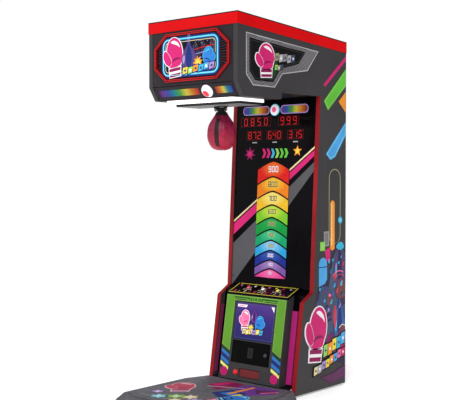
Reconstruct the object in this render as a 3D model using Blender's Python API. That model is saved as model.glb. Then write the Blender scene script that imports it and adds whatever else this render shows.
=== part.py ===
"""Boxing punch machine: an arcade strength tester with a hanging punching bag.

Metres, +Z up. The machine stands on the floor at z = 0. The player stands on the platform at the
front (-Y) and the cabinet's tower stands at the rear (+Y). The origin lies on the floor, under the
middle of the whole footprint. A "plane" below is a flat working face of the machine: its points
are given as (across, up, out), where out is the height above that face.
"""

import math

import bmesh
import bpy
from mathutils import Vector

# ---------------------------------------------------------------- driving dimensions (metres)
HEIGHT = 2.250          # top of the roof's front edge
HALF_WIDTH = 0.352      # outer face of a side panel
PANEL = 0.030           # thickness of a side panel
INNER = HALF_WIDTH - PANEL
BACK = 0.662            # rear edge of the side panels
HEAD_FRONT = -0.387     # front face of the head
ROOF_DROP = 0.071       # how much lower the roof is at the rear
ROOF_SHEET = 0.006
GAP = 0.0003            # air left between two pieces that touch
FIT = GAP * 2           # air left at a slanted joint
BOARD = 0.012           # thickness of the cabinet's boards

CHIN_TOP = 1.861        # where the head's front face ends and the slanted chin starts
CHIN_BOTTOM = 1.783     # underside of the head
CHIN_DEPTH = 0.050
HEAD_STEP_Y = 0.005     # the underside steps up behind this line
HEAD_STEP_RISE = 0.040

TOWER_LEAN = 0.055      # how far the tower's front leans back, per metre of height
TOWER_FOOT_Y = 0.2857   # the tower's front line carried down to the floor
SHOULDER_TOP = 0.620    # the side panel steps forward between these two heights
SHOULDER_LOW = 0.565
LOWER_LEAN = 0.155
LOWER_FOOT_Y = 0.135
PANEL_FOOT = 0.012      # lower edge of the side panels, above the floor
TRIM = 0.0040           # room for the edge trim in front of a side panel

DISPLAY_SET_BACK = 0.008
RECESS_SET_BACK = 0.042   # lower front panel behind the side panels' edges
CONSOLE_LEAN = 0.170
CONSOLE_FOOT_Y = 0.103
CONSOLE_HALF = 0.245
CONSOLE_LOW = 0.055
CONSOLE_TOP = 0.589
CONTROL_DEPTH = 0.119     # the control panel runs back this far and rises this much
CONTROL_RISE = 0.050
CABINET_FLOOR = 0.050

HINGE = Vector((0.0, -0.127, 1.733))    # axis of the bag's hinge, along X
BAG_TOP = 1.7155

REAR_FACE = 0.652       # outer face of the rear panel
DOOR_HALF = 0.200       # service door opening
DOOR_LOW = 0.250
DOOR_HIGH = 1.150

PLATFORM_TOP = 0.046
MAT = 0.0037

ROUND = 24              # sides of a round piece

# ---------------------------------------------------------------- finishes
FINISHES = {
    "laminate": ((0.048, 0.045, 0.050), 0.45, 0.0),
    "black_board": ((0.012, 0.012, 0.013), 0.40, 0.0),
    "red_paint": ((0.75, 0.010, 0.012), 0.35, 0.0),
    "red_trim": ((0.42, 0.020, 0.025), 0.35, 0.0),
    "red_metal": ((0.50, 0.012, 0.015), 0.30, 0.6),
    "printed_lens": ((0.060, 0.030, 0.060), 0.20, 0.0),
    "circuit_board": ((0.010, 0.110, 0.040), 0.55, 0.0),
    "white_lens": ((0.90, 0.88, 0.88), 0.30, 0.0),
    "light_bar": ((0.35, 0.30, 0.45), 0.30, 0.0),
    "grey_board": ((0.55, 0.55, 0.57), 0.60, 0.0),
    "black_steel": ((0.020, 0.021, 0.022), 0.42, 0.9),
    "bright_steel": ((0.62, 0.62, 0.63), 0.28, 1.0),
    "bag_leather": ((0.42, 0.020, 0.075), 0.38, 0.0),
    "black_plastic": ((0.015, 0.015, 0.016), 0.45, 0.0),
    "chevron_lens": ((0.70, 0.45, 0.10), 0.30, 0.0),
    "score_lens": ((0.16, 0.008, 0.010), 0.20, 0.0),
    "green_paint": ((0.125, 0.350, 0.045), 0.40, 0.0),
    "screen_glass": ((0.040, 0.020, 0.090), 0.08, 0.0),
    "button_plastic": ((0.80, 0.25, 0.30), 0.25, 0.0),
    "magenta_plastic": ((0.55, 0.015, 0.180), 0.35, 0.0),
    "rubber": ((0.018, 0.018, 0.018), 0.85, 0.0),
    "platform_steel": ((0.080, 0.078, 0.082), 0.50, 0.6),
    "mat": ((0.150, 0.145, 0.160), 0.75, 0.0),
    "grey_steel": ((0.30, 0.30, 0.31), 0.45, 0.8),
}

for leftover in list(bpy.data.objects):
    bpy.data.objects.remove(leftover, do_unlink=True)


def finish_for(name, key):
    """A Principled material of its own for one sub-part."""
    colour, roughness, metallic = FINISHES[key]
    material = bpy.data.materials.new(name + "_finish")
    material.use_nodes = True
    shader = material.node_tree.nodes["Principled BSDF"]
    shader.inputs["Base Color"].default_value = (*colour, 1.0)
    shader.inputs["Roughness"].default_value = roughness
    shader.inputs["Metallic"].default_value = metallic
    material.diffuse_color = (*colour, 1.0)
    return material


def make(name, shape, finish, pivot=(0.0, 0.0, 0.0), smooth=False):
    """Turn a bmesh drawn in world metres into an object whose origin is at the pivot."""
    bmesh.ops.recalc_face_normals(shape, faces=shape.faces)
    bmesh.ops.translate(shape, verts=shape.verts, vec=-Vector(pivot))
    mesh = bpy.data.meshes.new(name)
    shape.to_mesh(mesh)
    shape.free()
    mesh.materials.append(finish_for(name, finish))
    if smooth:
        mesh.shade_smooth()
        mesh.set_sharp_from_angle(angle=math.radians(35))
    piece = bpy.data.objects.new(name, mesh)
    piece.location = pivot
    bpy.context.collection.objects.link(piece)
    return piece


# ---------------------------------------------------------------- working planes and outlines
class Plane:
    """A flat working face: across runs along it, up runs up it, and out stands off it."""

    def __init__(self, origin, up, across=(1.0, 0.0, 0.0)):
        self.origin = Vector(origin)
        self.up = Vector(up).normalized()
        self.across = Vector(across)
        self.out = self.across.cross(self.up)

    def point(self, across, up, out=0.0):
        return self.origin + self.across * across + self.up * up + self.out * out

    def at_height(self, z):
        """How far up the plane the height z is."""
        return (z - self.origin.z) / self.up.z


def rectangle(left, right, low, high):
    return [(left, low), (right, low), (right, high), (left, high)]


def octagon(half_width, low, high, cut_across, cut_up):
    return [
        (-half_width + cut_across, low), (half_width - cut_across, low),
        (half_width, low + cut_up), (half_width, high - cut_up),
        (half_width - cut_across, high), (-half_width + cut_across, high),
        (-half_width, high - cut_up), (-half_width, low + cut_up),
    ]


def circle(across, up, radius, sides=ROUND):
    turns = [2.0 * math.pi * i / sides for i in range(sides)]
    return [(across + radius * math.cos(t), up + radius * math.sin(t)) for t in turns]


def capsule(left, right, low, high, sides=8):
    """A bar with round ends."""
    radius = (high - low) / 2.0
    middle = (high + low) / 2.0
    turns = [math.pi * i / sides for i in range(sides + 1)]
    right_end = [(right - radius + radius * math.sin(t), middle - radius * math.cos(t)) for t in turns]
    left_end = [(left + radius - radius * math.sin(t), middle + radius * math.cos(t)) for t in turns]
    return right_end + left_end


def roof_height(y):
    return HEIGHT - ROOF_DROP * (y - HEAD_FRONT) / (BACK - HEAD_FRONT)


def tower_front(z):
    return TOWER_FOOT_Y + TOWER_LEAN * z


def lower_front(z):
    return LOWER_FOOT_Y + LOWER_LEAN * z


def console_front(z):
    return CONSOLE_FOOT_Y + CONSOLE_LEAN * z


HEAD = Plane((0.0, HEAD_FRONT, 0.0), (0.0, 0.0, 1.0))
CHIN = Plane((0.0, HEAD_FRONT + CHIN_DEPTH, CHIN_BOTTOM), (0.0, -CHIN_DEPTH, CHIN_TOP - CHIN_BOTTOM))
CHIN_LENGTH = math.hypot(CHIN_DEPTH, CHIN_TOP - CHIN_BOTTOM)
DISPLAY = Plane((0.0, tower_front(0.0) + DISPLAY_SET_BACK, 0.0), (0.0, TOWER_LEAN, 1.0))
CONSOLE = Plane((0.0, CONSOLE_FOOT_Y, 0.0), (0.0, CONSOLE_LEAN, 1.0))
CONTROL = Plane((0.0, console_front(CONSOLE_TOP), CONSOLE_TOP), (0.0, CONTROL_DEPTH, CONTROL_RISE))
RECESS = Plane((0.0, lower_front(0.0) + RECESS_SET_BACK, 0.0), (0.0, LOWER_LEAN, 1.0))
REAR = Plane((0.0, REAR_FACE, 0.0), (0.0, 0.0, 1.0), across=(-1.0, 0.0, 0.0))


# ---------------------------------------------------------------- solids
def add_prism(shape, loops, low, high):
    """Close a prism between two mappings of the same outline; later loops are holes."""
    partner = {}
    rim = []
    for loop in loops:
        lows = [shape.verts.new(low(*point)) for point in loop]
        highs = [shape.verts.new(high(*point)) for point in loop]
        partner.update(zip(lows, highs))
        for i, corner in enumerate(lows):
            j = (i + 1) % len(lows)
            shape.faces.new((corner, lows[j], highs[j], highs[i]))
            rim.append(shape.edges.get((corner, lows[j])))
    filled = bmesh.ops.triangle_fill(shape, edges=rim, use_beauty=True)
    for face in [item for item in filled["geom"] if isinstance(item, bmesh.types.BMFace)]:
        shape.faces.new([partner[corner] for corner in reversed(face.verts)])


def add_slab(shape, plane, loops, inner, outer):
    """A plate on a working plane, from the height inner to the height outer."""
    add_prism(shape, loops, lambda a, b: plane.point(a, b, inner), lambda a, b: plane.point(a, b, outer))


def add_profile(shape, outline, left, right, holes=()):
    """A (y, z) outline carried across the machine from x = left to x = right."""
    add_prism(shape, [outline, *holes], lambda y, z: (left, y, z), lambda y, z: (right, y, z))


def add_block(shape, low, high):
    outline = rectangle(low[0], high[0], low[1], high[1])
    add_prism(shape, [outline], lambda x, y: (x, y, low[2]), lambda x, y: (x, y, high[2]))


def add_turned(shape, profile, centre, axis, sides=ROUND, ring=False):
    """Turn (radius, along) points about an axis; a ring's profile closes on itself."""
    axis = Vector(axis).normalized()
    side = axis.orthogonal().normalized()
    other = axis.cross(side)
    turns = [2.0 * math.pi * i / sides for i in range(sides)]
    hoops = []
    for radius, along in profile:
        middle = Vector(centre) + axis * along
        if radius == 0.0:
            hoops.append([shape.verts.new(middle)] * sides)
            continue
        spokes = [side * math.cos(t) + other * math.sin(t) for t in turns]
        hoops.append([shape.verts.new(middle + spoke * radius) for spoke in spokes])
    pairs = list(zip(hoops, hoops[1:]))
    if ring:
        pairs.append((hoops[-1], hoops[0]))
    for lower, upper in pairs:
        for i in range(sides):
            j = (i + 1) % sides
            corners = [lower[i], lower[j], upper[j], upper[i]]
            shape.faces.new(list(dict.fromkeys(corners)))
    if not ring:
        for hoop in (hoops[0], hoops[-1]):
            if hoop[0] is not hoop[1]:
                shape.faces.new(hoop)


def new_shape(adder, *arguments, **options):
    shape = bmesh.new()
    adder(shape, *arguments, **options)
    return shape


def combined(first, others, operation):
    """Join shapes to the first, or cut them from it, with exact Booleans."""
    scratch = []
    for shape in (first, *others):
        bmesh.ops.recalc_face_normals(shape, faces=shape.faces)
        mesh = bpy.data.meshes.new("scratch")
        shape.to_mesh(mesh)
        shape.free()
        scratch.append(bpy.data.objects.new("scratch", mesh))
        bpy.context.collection.objects.link(scratch[-1])
    base = scratch[0]
    for tool in scratch[1:]:
        modifier = base.modifiers.new("combine", "BOOLEAN")
        modifier.object = tool
        modifier.operation = operation
        modifier.solver = "EXACT"
    bpy.context.view_layer.update()
    evaluated = base.evaluated_get(bpy.context.evaluated_depsgraph_get())
    result = bmesh.new()
    result.from_mesh(evaluated.to_mesh())
    evaluated.to_mesh_clear()
    for thing in scratch:
        bpy.data.objects.remove(thing, do_unlink=True)
    return result


def united(first, *others):
    return combined(first, others, "UNION")


# ---------------------------------------------------------------- cabinet shell
def side_panel_outline():
    return [
        (HEAD_FRONT, roof_height(HEAD_FRONT) - ROOF_SHEET - GAP),
        (HEAD_FRONT, CHIN_TOP),
        (HEAD_FRONT + CHIN_DEPTH, CHIN_BOTTOM),
        (HEAD_STEP_Y, CHIN_BOTTOM),
        (HEAD_STEP_Y + 0.002, CHIN_BOTTOM + HEAD_STEP_RISE),
        (tower_front(CHIN_BOTTOM + HEAD_STEP_RISE) + TRIM, CHIN_BOTTOM + HEAD_STEP_RISE),
        (tower_front(SHOULDER_TOP) + TRIM, SHOULDER_TOP),
        (lower_front(SHOULDER_LOW) + TRIM, SHOULDER_LOW),
        (lower_front(PANEL_FOOT) + TRIM, PANEL_FOOT),
        (BACK, PANEL_FOOT),
        (BACK, roof_height(BACK) - ROOF_SHEET - GAP),
    ]


def side_panels():
    for name, side in (("side_panel_left", -1), ("side_panel_right", 1)):
        make(name, new_shape(add_profile, side_panel_outline(), side * INNER, side * HALF_WIDTH), "laminate")


def edge_trims():
    """The red moulding on the front edges of the side panels, from the head down to the floor."""
    top = CHIN_BOTTOM + HEAD_STEP_RISE
    line = [
        (tower_front(top), top), (tower_front(SHOULDER_TOP), SHOULDER_TOP),
        (lower_front(SHOULDER_LOW), SHOULDER_LOW), (lower_front(PANEL_FOOT), PANEL_FOOT),
    ]
    outline = line + [(y + TRIM - FIT, z) for y, z in reversed(line)]
    for name, side in (("edge_trim_left", -1), ("edge_trim_right", 1)):
        make(name, new_shape(add_profile, outline, side * INNER, side * HALF_WIDTH), "red_trim")


def roof_panel():
    overhang = 0.0033
    front = HEAD_FRONT - overhang
    outline = [
        (front, roof_height(front)), (BACK, roof_height(BACK)),
        (BACK, roof_height(BACK) - ROOF_SHEET), (front, roof_height(front) - ROOF_SHEET),
    ]
    half = HALF_WIDTH + overhang
    make("roof_panel", new_shape(add_profile, outline, -half, half), "black_board")


def crown_band():
    """The red band round the front and the sides of the head, under the roof's edge."""
    thickness = 0.003
    height = 0.0625
    outer = HALF_WIDTH + GAP + thickness
    inner = HALF_WIDTH + GAP
    front = HEAD_FRONT - GAP
    plan = [
        (-outer, BACK), (-outer, front - thickness), (outer, front - thickness), (outer, BACK),
        (inner, BACK), (inner, front), (-inner, front), (-inner, BACK),
    ]
    shape = bmesh.new()
    add_prism(
        shape, [plan],
        lambda x, y: (x, y, roof_height(y) - ROOF_SHEET - GAP - height),
        lambda x, y: (x, y, roof_height(y) - ROOF_SHEET - GAP),
    )
    make("crown_band", shape, "red_paint")


# ---------------------------------------------------------------- head
MARQUEE_LOW = 1.884
MARQUEE_HIGH = 2.168
MARQUEE_HALF = 0.298
MARQUEE_CUT = (0.095, 0.082)
MARQUEE_RING = 0.016
HEAD_SHEET = 0.006      # thickness of the head's front and chin panels


def marquee_outline(inset):
    """The octagon of the lit sign, moved inwards by the inset."""
    cut_across = MARQUEE_CUT[0] - inset * 0.55
    cut_up = MARQUEE_CUT[1] - inset * 0.55
    return octagon(MARQUEE_HALF - inset, MARQUEE_LOW + inset, MARQUEE_HIGH - inset, cut_across, cut_up)


def head_front():
    face = -0.002
    hole_inset = 0.008
    opening = marquee_outline(hole_inset)
    outline = rectangle(-INNER + GAP, INNER - GAP, CHIN_TOP + 0.0025, 2.240)
    panel = new_shape(add_slab, HEAD, [outline, opening], face - HEAD_SHEET, face)
    make("head_front_panel", panel, "black_board")

    lens = new_shape(add_slab, HEAD, [marquee_outline(hole_inset + 0.0005)], face - 0.005, face)
    make("marquee_lens", lens, "printed_lens")

    ring = [marquee_outline(0.0), marquee_outline(MARQUEE_RING)]
    make("marquee_frame", new_shape(add_slab, HEAD, ring, face + GAP, face + 0.010), "red_metal")

    back_of_panel = face - HEAD_SHEET - GAP
    board_out = back_of_panel - 0.024
    shape = new_shape(add_slab, HEAD, [rectangle(-0.283, 0.283, 1.898, 2.154)], board_out - 0.0016, board_out)
    posts = []
    for across in (-0.275, 0.275):
        for up in (1.906, 2.146):
            post = new_shape(add_slab, HEAD, [circle(across, up, 0.005, 12)], board_out - 0.001, back_of_panel)
            posts.append(post)
    make("marquee_light_board", united(shape, *posts), "circuit_board")


LAMP_ACROSS = 0.102
LAMP_HOLE = 0.034


def dome(base, flange, height, lip=0.004, steps=5):
    """Profile of a lamp: a base that sits in its hole, a flange on the face and a dome."""
    turns = [0.5 * math.pi * i / steps for i in range(steps)]
    curve = [((flange - 0.001) * math.cos(t), lip + (height - lip) * math.sin(t)) for t in turns]
    return [(0.0, -0.005), (base, -0.005), (base, GAP), (flange, GAP), (flange, lip), *curve, (0.0, height)]


def chin():
    face = -0.002
    middle = CHIN_LENGTH / 2.0
    slots = [rectangle(-0.302, 0.038, middle - 0.022, middle + 0.022),
             rectangle(0.166, 0.302, middle - 0.022, middle + 0.022)]
    outline = rectangle(-INNER + GAP, INNER - GAP, 0.003, CHIN_LENGTH - 0.003)
    holes = [circle(LAMP_ACROSS, middle, LAMP_HOLE), *slots]
    make("chin_panel", new_shape(add_slab, CHIN, [outline, *holes], face - HEAD_SHEET, face), "black_board")

    centre = CHIN.point(LAMP_ACROSS, middle, face)
    lamp = new_shape(add_turned, dome(LAMP_HOLE - 0.0006, 0.0385, 0.028), centre, CHIN.out)
    make("chin_lamp", lamp, "white_lens", smooth=True)

    behind = face - HEAD_SHEET - GAP
    strip = new_shape(add_slab, CHIN, [rectangle(-0.310, 0.310, middle - 0.030, middle + 0.030)],
                      behind - 0.004, behind)
    lenses = []
    for slot in slots:
        (left, low), (right, high) = slot[0], slot[2]
        outline = rectangle(left + 0.0005, right - 0.0005, low + 0.0005, high - 0.0005)
        lenses.append(new_shape(add_slab, CHIN, [outline], behind - 0.002, face + 0.001))
    make("chin_light_bars", united(strip, *lenses), "light_bar")


UNDERSIDE_Y = (-0.322, 0.384)


def head_underside():
    low = CHIN_BOTTOM
    high = CHIN_BOTTOM + HEAD_STEP_RISE
    front, rear = UNDERSIDE_Y
    outline = [
        (front, low), (HEAD_STEP_Y, low), (HEAD_STEP_Y, high), (rear, high),
        (rear, high + BOARD), (HEAD_STEP_Y - BOARD, high + BOARD), (HEAD_STEP_Y - BOARD, low + BOARD),
        (front, low + BOARD),
    ]
    panel = new_shape(add_profile, outline, -INNER + GAP, INNER - GAP)
    make("head_floor_panel", panel, "black_board")

    beam_low = low + BOARD + GAP
    beam = new_shape(add_block, (-INNER + GAP, -0.147, beam_low), (INNER - GAP, -0.107, beam_low + 0.040))
    make("head_cross_beam", beam, "black_steel")

    under = high - GAP
    rail = new_shape(add_block, (-0.304, 0.030, under - 0.004), (0.304, 0.042, under))
    dome_profile = [(0.018, 0.001), (0.018, 0.012), (0.013, 0.024), (0.0, 0.030)]
    domes = [
        new_shape(add_turned, dome_profile, (across, 0.036, under), (0.0, 0.0, -1.0), sides=16)
        for across in (-0.285, 0.285)
    ]
    make("underside_lamps", united(rail, *domes), "white_lens", smooth=True)


BOARD_TOP = 1.7647
BOARD_UNDER = 1.750


def rebound_unit():
    box = new_shape(add_block, (-0.260, -0.327, BOARD_TOP + GAP), (0.260, -0.045, CHIN_BOTTOM - GAP))
    make("under_light_box", box, "white_lens")
    board = new_shape(add_block, (-0.252, -0.256, BOARD_UNDER), (0.252, -0.052, BOARD_TOP))
    make("rebound_board", board, "grey_board")


# ---------------------------------------------------------------- punching bag and its hinge
PIN_RADIUS = 0.005
BORE_RADIUS = PIN_RADIUS + 0.0003
EAR_INNER = 0.028
EAR_OUTER = 0.036
EAR_RADIUS = 0.011
BRACKET_UNDER = 1.7457
DISC_ACROSS = -0.0497    # the sensor disc on the pin
DISC_RADIUS = 0.012


def bag_bracket():
    """The clevis under the rebound board that carries the hinge pin."""
    plate = new_shape(
        add_block, (-EAR_OUTER, HINGE.y - 0.020, BRACKET_UNDER), (EAR_OUTER, HINGE.y + 0.020, BOARD_UNDER - GAP)
    )
    turns = [math.pi + math.pi * i / 10 for i in range(11)]
    round_end = [(HINGE.y + EAR_RADIUS * math.cos(t), HINGE.z + EAR_RADIUS * math.sin(t)) for t in turns]
    rise = BRACKET_UNDER + 0.002
    outline = [*round_end, (HINGE.y + EAR_RADIUS, rise), (HINGE.y - EAR_RADIUS, rise)]
    bore = circle(HINGE.y, HINGE.z, BORE_RADIUS, 16)
    ears = [new_shape(add_profile, outline, side * EAR_INNER, side * EAR_OUTER, [bore]) for side in (-1, 1)]
    make("bag_bracket", united(plate, *ears), "black_steel")


def bag_pin():
    """The hinge pin, which turns with the bag and carries the sensor's disc near its left end."""
    half = 0.00075
    profile = [
        (PIN_RADIUS, -0.0525), (PIN_RADIUS, DISC_ACROSS - half), (DISC_RADIUS, DISC_ACROSS - half),
        (DISC_RADIUS, DISC_ACROSS + half), (PIN_RADIUS, DISC_ACROSS + half), (PIN_RADIUS, 0.0385),
    ]
    pin = new_shape(add_turned, profile, HINGE, (1.0, 0.0, 0.0), sides=16)
    make("bag_hinge_pin", pin, "bright_steel", HINGE, smooth=True)


def swing_sensor():
    """The optical fork that reads the disc on the hinge pin."""
    leg_low = 1.740
    slot_top = 1.7467
    slot = 0.002
    left, right = DISC_ACROSS - 0.0065, DISC_ACROSS + 0.0065
    outline = [
        (left, BOARD_UNDER - GAP), (left, leg_low), (DISC_ACROSS - slot, leg_low), (DISC_ACROSS - slot, slot_top),
        (DISC_ACROSS + slot, slot_top), (DISC_ACROSS + slot, leg_low), (right, leg_low),
        (right, BOARD_UNDER - GAP),
    ]
    shape = bmesh.new()
    add_prism(shape, [outline],
              lambda x, z: (x, HINGE.y - 0.008, z), lambda x, z: (x, HINGE.y + 0.008, z))
    make("swing_sensor", shape, "black_plastic")


def swing_collar():
    """A knuckle on the pin, with a disc under it that the bag hangs from."""
    half = EAR_INNER - 0.0005
    knuckle_radius = 0.010
    ring = [(BORE_RADIUS, -half), (knuckle_radius, -half), (knuckle_radius, half), (BORE_RADIUS, half)]
    knuckle = new_shape(add_turned, ring, HINGE, (1.0, 0.0, 0.0), sides=16, ring=True)
    disc_top = 1.7222
    stem = new_shape(
        add_block, (-0.014, HINGE.y - 0.007, disc_top - 0.002), (0.014, HINGE.y + 0.007, HINGE.z - 0.0066)
    )
    disc = new_shape(
        add_turned, [(0.026, 0.0), (0.026, disc_top - BAG_TOP - GAP)], (0.0, HINGE.y, BAG_TOP + GAP), (0, 0, 1)
    )
    make("swing_collar", united(knuckle, stem, disc), "black_steel", HINGE, smooth=True)


def punching_bag():
    """The pear-shaped bag: a narrow neck that widens into a round bulb."""
    profile = [
        (0.0, 1.487), (0.030, 1.4895), (0.055, 1.501), (0.074, 1.525), (0.0845, 1.556), (0.0865, 1.590),
        (0.0820, 1.622), (0.0715, 1.650), (0.0560, 1.674), (0.0420, 1.694), (0.0350, 1.709), (0.032, BAG_TOP),
    ]
    bag = new_shape(add_turned, profile, (0.0, HINGE.y, 0.0), (0.0, 0.0, 1.0))
    make("punching_bag", bag, "bag_leather", HINGE, smooth=True)


# ---------------------------------------------------------------- tower display
CHEVRON_COUNT = 10
CHEVRON_APEX = 1.424
CHEVRON_FIRST_STEP = 0.100
CHEVRON_SHRINK = 0.93
CHEVRON_HALF = 0.128
CHEVRON_SAG = 0.052
LENS = 0.0035
LENS_BASE = 0.0012      # thin sheet that holds the raised windows of a lens together


def chevron_levels():
    """Apex and height of each chevron, from the top one down."""
    apex = CHEVRON_APEX
    step = CHEVRON_FIRST_STEP
    levels = []
    for _ in range(CHEVRON_COUNT):
        levels.append((apex, step - 0.008))
        apex -= step
        step *= CHEVRON_SHRINK
    return levels


def arch(apex, sides=8):
    """The curved top edge of a chevron, from its left end to its right end."""
    points = []
    for i in range(sides + 1):
        share = 2.0 * i / sides - 1.0
        points.append((CHEVRON_HALF * share, apex - CHEVRON_SAG * abs(share) ** 1.4))
    return points


def chevron_lenses():
    """One moulded lens sheet: a thin base with ten raised chevrons, the last one a flat diamond."""
    shapes = []
    levels = chevron_levels()
    for number, (apex, height) in enumerate(levels):
        top = arch(DISPLAY.at_height(apex))
        if number == len(levels) - 1:
            low = DISPLAY.at_height(apex) - height - 0.012
            bottom = [(0.0, low)]
        else:
            bottom = [(across, up - height) for across, up in reversed(top)]
        shapes.append(new_shape(add_slab, DISPLAY, [top + bottom], LENS_BASE / 2.0, LENS))
    base = rectangle(-CHEVRON_HALF + 0.006, CHEVRON_HALF - 0.006, low + 0.022, DISPLAY.at_height(CHEVRON_APEX - 0.075))
    sheet = new_shape(add_slab, DISPLAY, [base], GAP, LENS_BASE)
    make("chevron_lenses", united(sheet, *shapes), "chevron_lens")


SCORE_UPPER_Z = 1.682
SCORE_LOWER_Z = 1.594
SCORE_HALF_HEIGHT = 0.030


def score_windows():
    """Five raised number windows on one thin sheet."""
    upper = DISPLAY.at_height(SCORE_UPPER_Z)
    lower = DISPLAY.at_height(SCORE_LOWER_Z)
    spans = [(-0.287, -0.033, upper), (0.024, 0.192, upper)]
    spans += [(middle - 0.064, middle + 0.064, lower) for middle in (-0.168, -0.002, 0.166)]
    windows = []
    for left, right, level in spans:
        outline = rectangle(left, right, level - SCORE_HALF_HEIGHT, level + SCORE_HALF_HEIGHT)
        windows.append(new_shape(add_slab, DISPLAY, [outline], LENS_BASE / 2.0, LENS))
    base = rectangle(-0.292, 0.292, lower - SCORE_HALF_HEIGHT - 0.005, upper + SCORE_HALF_HEIGHT + 0.003)
    make("score_windows", united(new_shape(add_slab, DISPLAY, [base], GAP, LENS_BASE), *windows), "score_lens")


def display():
    low = DISPLAY.at_height(0.630)
    high = DISPLAY.at_height(1.840)
    sheet = 0.008
    panel = new_shape(add_slab, DISPLAY, [rectangle(-INNER + GAP, INNER - GAP, low, high)], -sheet, 0.0)
    make("display_panel", panel, "black_board")

    board_out = -0.028
    board = new_shape(add_slab, DISPLAY, [rectangle(-0.295, 0.295, low + 0.04, high - 0.04)],
                      board_out - 0.0016, board_out)
    posts = []
    for across in (-0.28, 0.28):
        for share in (0.06, 0.5, 0.94):
            up = low + (high - low) * share
            posts.append(new_shape(add_slab, DISPLAY, [circle(across, up, 0.005, 12)],
                                   board_out - 0.001, -sheet - GAP))
    make("display_led_board", united(board, *posts), "circuit_board")

    level = DISPLAY.at_height(1.754)
    strip = new_shape(add_slab, DISPLAY, [rectangle(-0.200, 0.200, level - 0.010, level + 0.010)], GAP, LENS_BASE)
    bars = [
        new_shape(add_slab, DISPLAY, [capsule(left, right, level - 0.022, level + 0.022)], LENS_BASE / 2.0, 0.005)
        for left, right in ((-0.265, -0.057), (0.046, 0.254))
    ]
    profile = [(0.036, LENS_BASE / 2.0), (0.036, 0.006), (0.027, 0.012), (0.0, 0.015)]
    lamp = new_shape(add_turned, profile, DISPLAY.point(-0.004, level), DISPLAY.out)
    make("display_lights", united(strip, *bars, lamp), "light_bar", smooth=True)


# ---------------------------------------------------------------- lower front and its light strips
def lower_front_panel():
    """The U-shaped board behind the console, with shelves that close the step up to the display."""
    low = RECESS.at_height(CABINET_FLOOR + BOARD + 0.0025)
    high = RECESS.at_height(0.5995)
    notch = 0.215
    notch_low = RECESS.at_height(0.110)
    edge = INNER - GAP
    outline = [
        (-edge, low), (edge, low), (edge, high), (notch, high), (notch, notch_low), (-notch, notch_low),
        (-notch, high), (-edge, high),
    ]
    panel = new_shape(add_slab, RECESS, [outline], -BOARD, 0.0)
    shelf_line = [(0.2705, 0.5993), (0.3255, 0.6225), (0.3255, 0.6125), (0.2760, 0.5893)]
    inset = 0.0005
    shelves = [
        new_shape(add_profile, shelf_line, side * (notch + inset), side * (edge - inset)) for side in (-1, 1)
    ]
    make("lower_front_panel", united(panel, *shelves), "black_board")


def light_strips():
    low = RECESS.at_height(0.064)
    high = RECESS.at_height(0.505)
    for name, inner, outer in (("light_strip_left", -0.290, -0.250), ("light_strip_right", 0.250, 0.290)):
        strip = new_shape(add_slab, RECESS, [rectangle(inner, outer, low, high)], GAP, 0.012)
        make(name, strip, "magenta_plastic")


# ---------------------------------------------------------------- console
SCREEN_HALF = 0.158
SCREEN_Z = (0.307, 0.533)
COIN_DOOR_HALF = 0.150
COIN_DOOR_Z = (0.162, 0.296)
COIN_HINGE_X = -0.151
COIN_LOCK = (0.120, 0.229)
LOCK_RADIUS = 0.010
REJECT = (-0.106, 0.102)
REJECT_RADIUS = 0.016
RETURN_X = (-0.078, 0.084)
RETURN_Z = (0.076, 0.130)
SPEAKER = (0.203, 0.097)
SPEAKER_HOLE = 0.029
CONSOLE_SHEET = 0.012
CONSOLE_WALL = 0.006


def console_level(z):
    return CONSOLE.at_height(z)


def control_under(y):
    """Height of the console's walls under the control panel, above the point y."""
    return CONSOLE_TOP + CONTROL_RISE / CONTROL_DEPTH * (y - console_front(CONSOLE_TOP)) - 0.0115


def console_shell():
    """Front plate with its openings, two side walls and a bottom, open to the cabinet behind."""
    wall_top = 0.5775
    outline = rectangle(-CONSOLE_HALF, CONSOLE_HALF, console_level(CONSOLE_LOW), console_level(wall_top))
    openings = [
        rectangle(-SCREEN_HALF - 0.002, SCREEN_HALF + 0.002,
                  console_level(SCREEN_Z[0] - 0.002), console_level(SCREEN_Z[1] + 0.002)),
        rectangle(-COIN_DOOR_HALF - 0.007, COIN_DOOR_HALF + 0.002,
                  console_level(COIN_DOOR_Z[0] - 0.002), console_level(COIN_DOOR_Z[1] + 0.002)),
        rectangle(RETURN_X[0], RETURN_X[1], console_level(RETURN_Z[0]), console_level(RETURN_Z[1])),
        circle(REJECT[0], console_level(REJECT[1]), REJECT_RADIUS + 0.0006),
        circle(-SPEAKER[0], console_level(SPEAKER[1]), SPEAKER_HOLE),
        circle(SPEAKER[0], console_level(SPEAKER[1]), SPEAKER_HOLE),
    ]
    front = new_shape(add_slab, CONSOLE, [outline, *openings], -CONSOLE_SHEET, 0.0)
    inset = 0.004
    recess_low = lower_front(CONSOLE_LOW) + RECESS_SET_BACK - FIT
    recess_high = lower_front(0.598) + RECESS_SET_BACK - FIT
    wall_line = [
        (console_front(CONSOLE_LOW) + inset, CONSOLE_LOW), (recess_low, CONSOLE_LOW), (recess_high, 0.598),
        (recess_high, control_under(recess_high)), (console_front(wall_top) + inset, wall_top),
    ]
    walls = []
    for side in (-1, 1):
        inner, outer = sorted((side * (CONSOLE_HALF - CONSOLE_WALL), side * CONSOLE_HALF))
        walls.append(new_shape(add_profile, wall_line, inner, outer))
    floor_line = [
        (console_front(CONSOLE_LOW) + inset, CONSOLE_LOW), (recess_low, CONSOLE_LOW),
        (recess_low, CONSOLE_LOW + 0.004), (console_front(CONSOLE_LOW) + inset, CONSOLE_LOW + 0.004),
    ]
    bottom = new_shape(add_profile, floor_line, -CONSOLE_HALF + 0.002, CONSOLE_HALF - 0.002)
    make("console_shell", united(front, *walls, bottom), "laminate")


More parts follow.
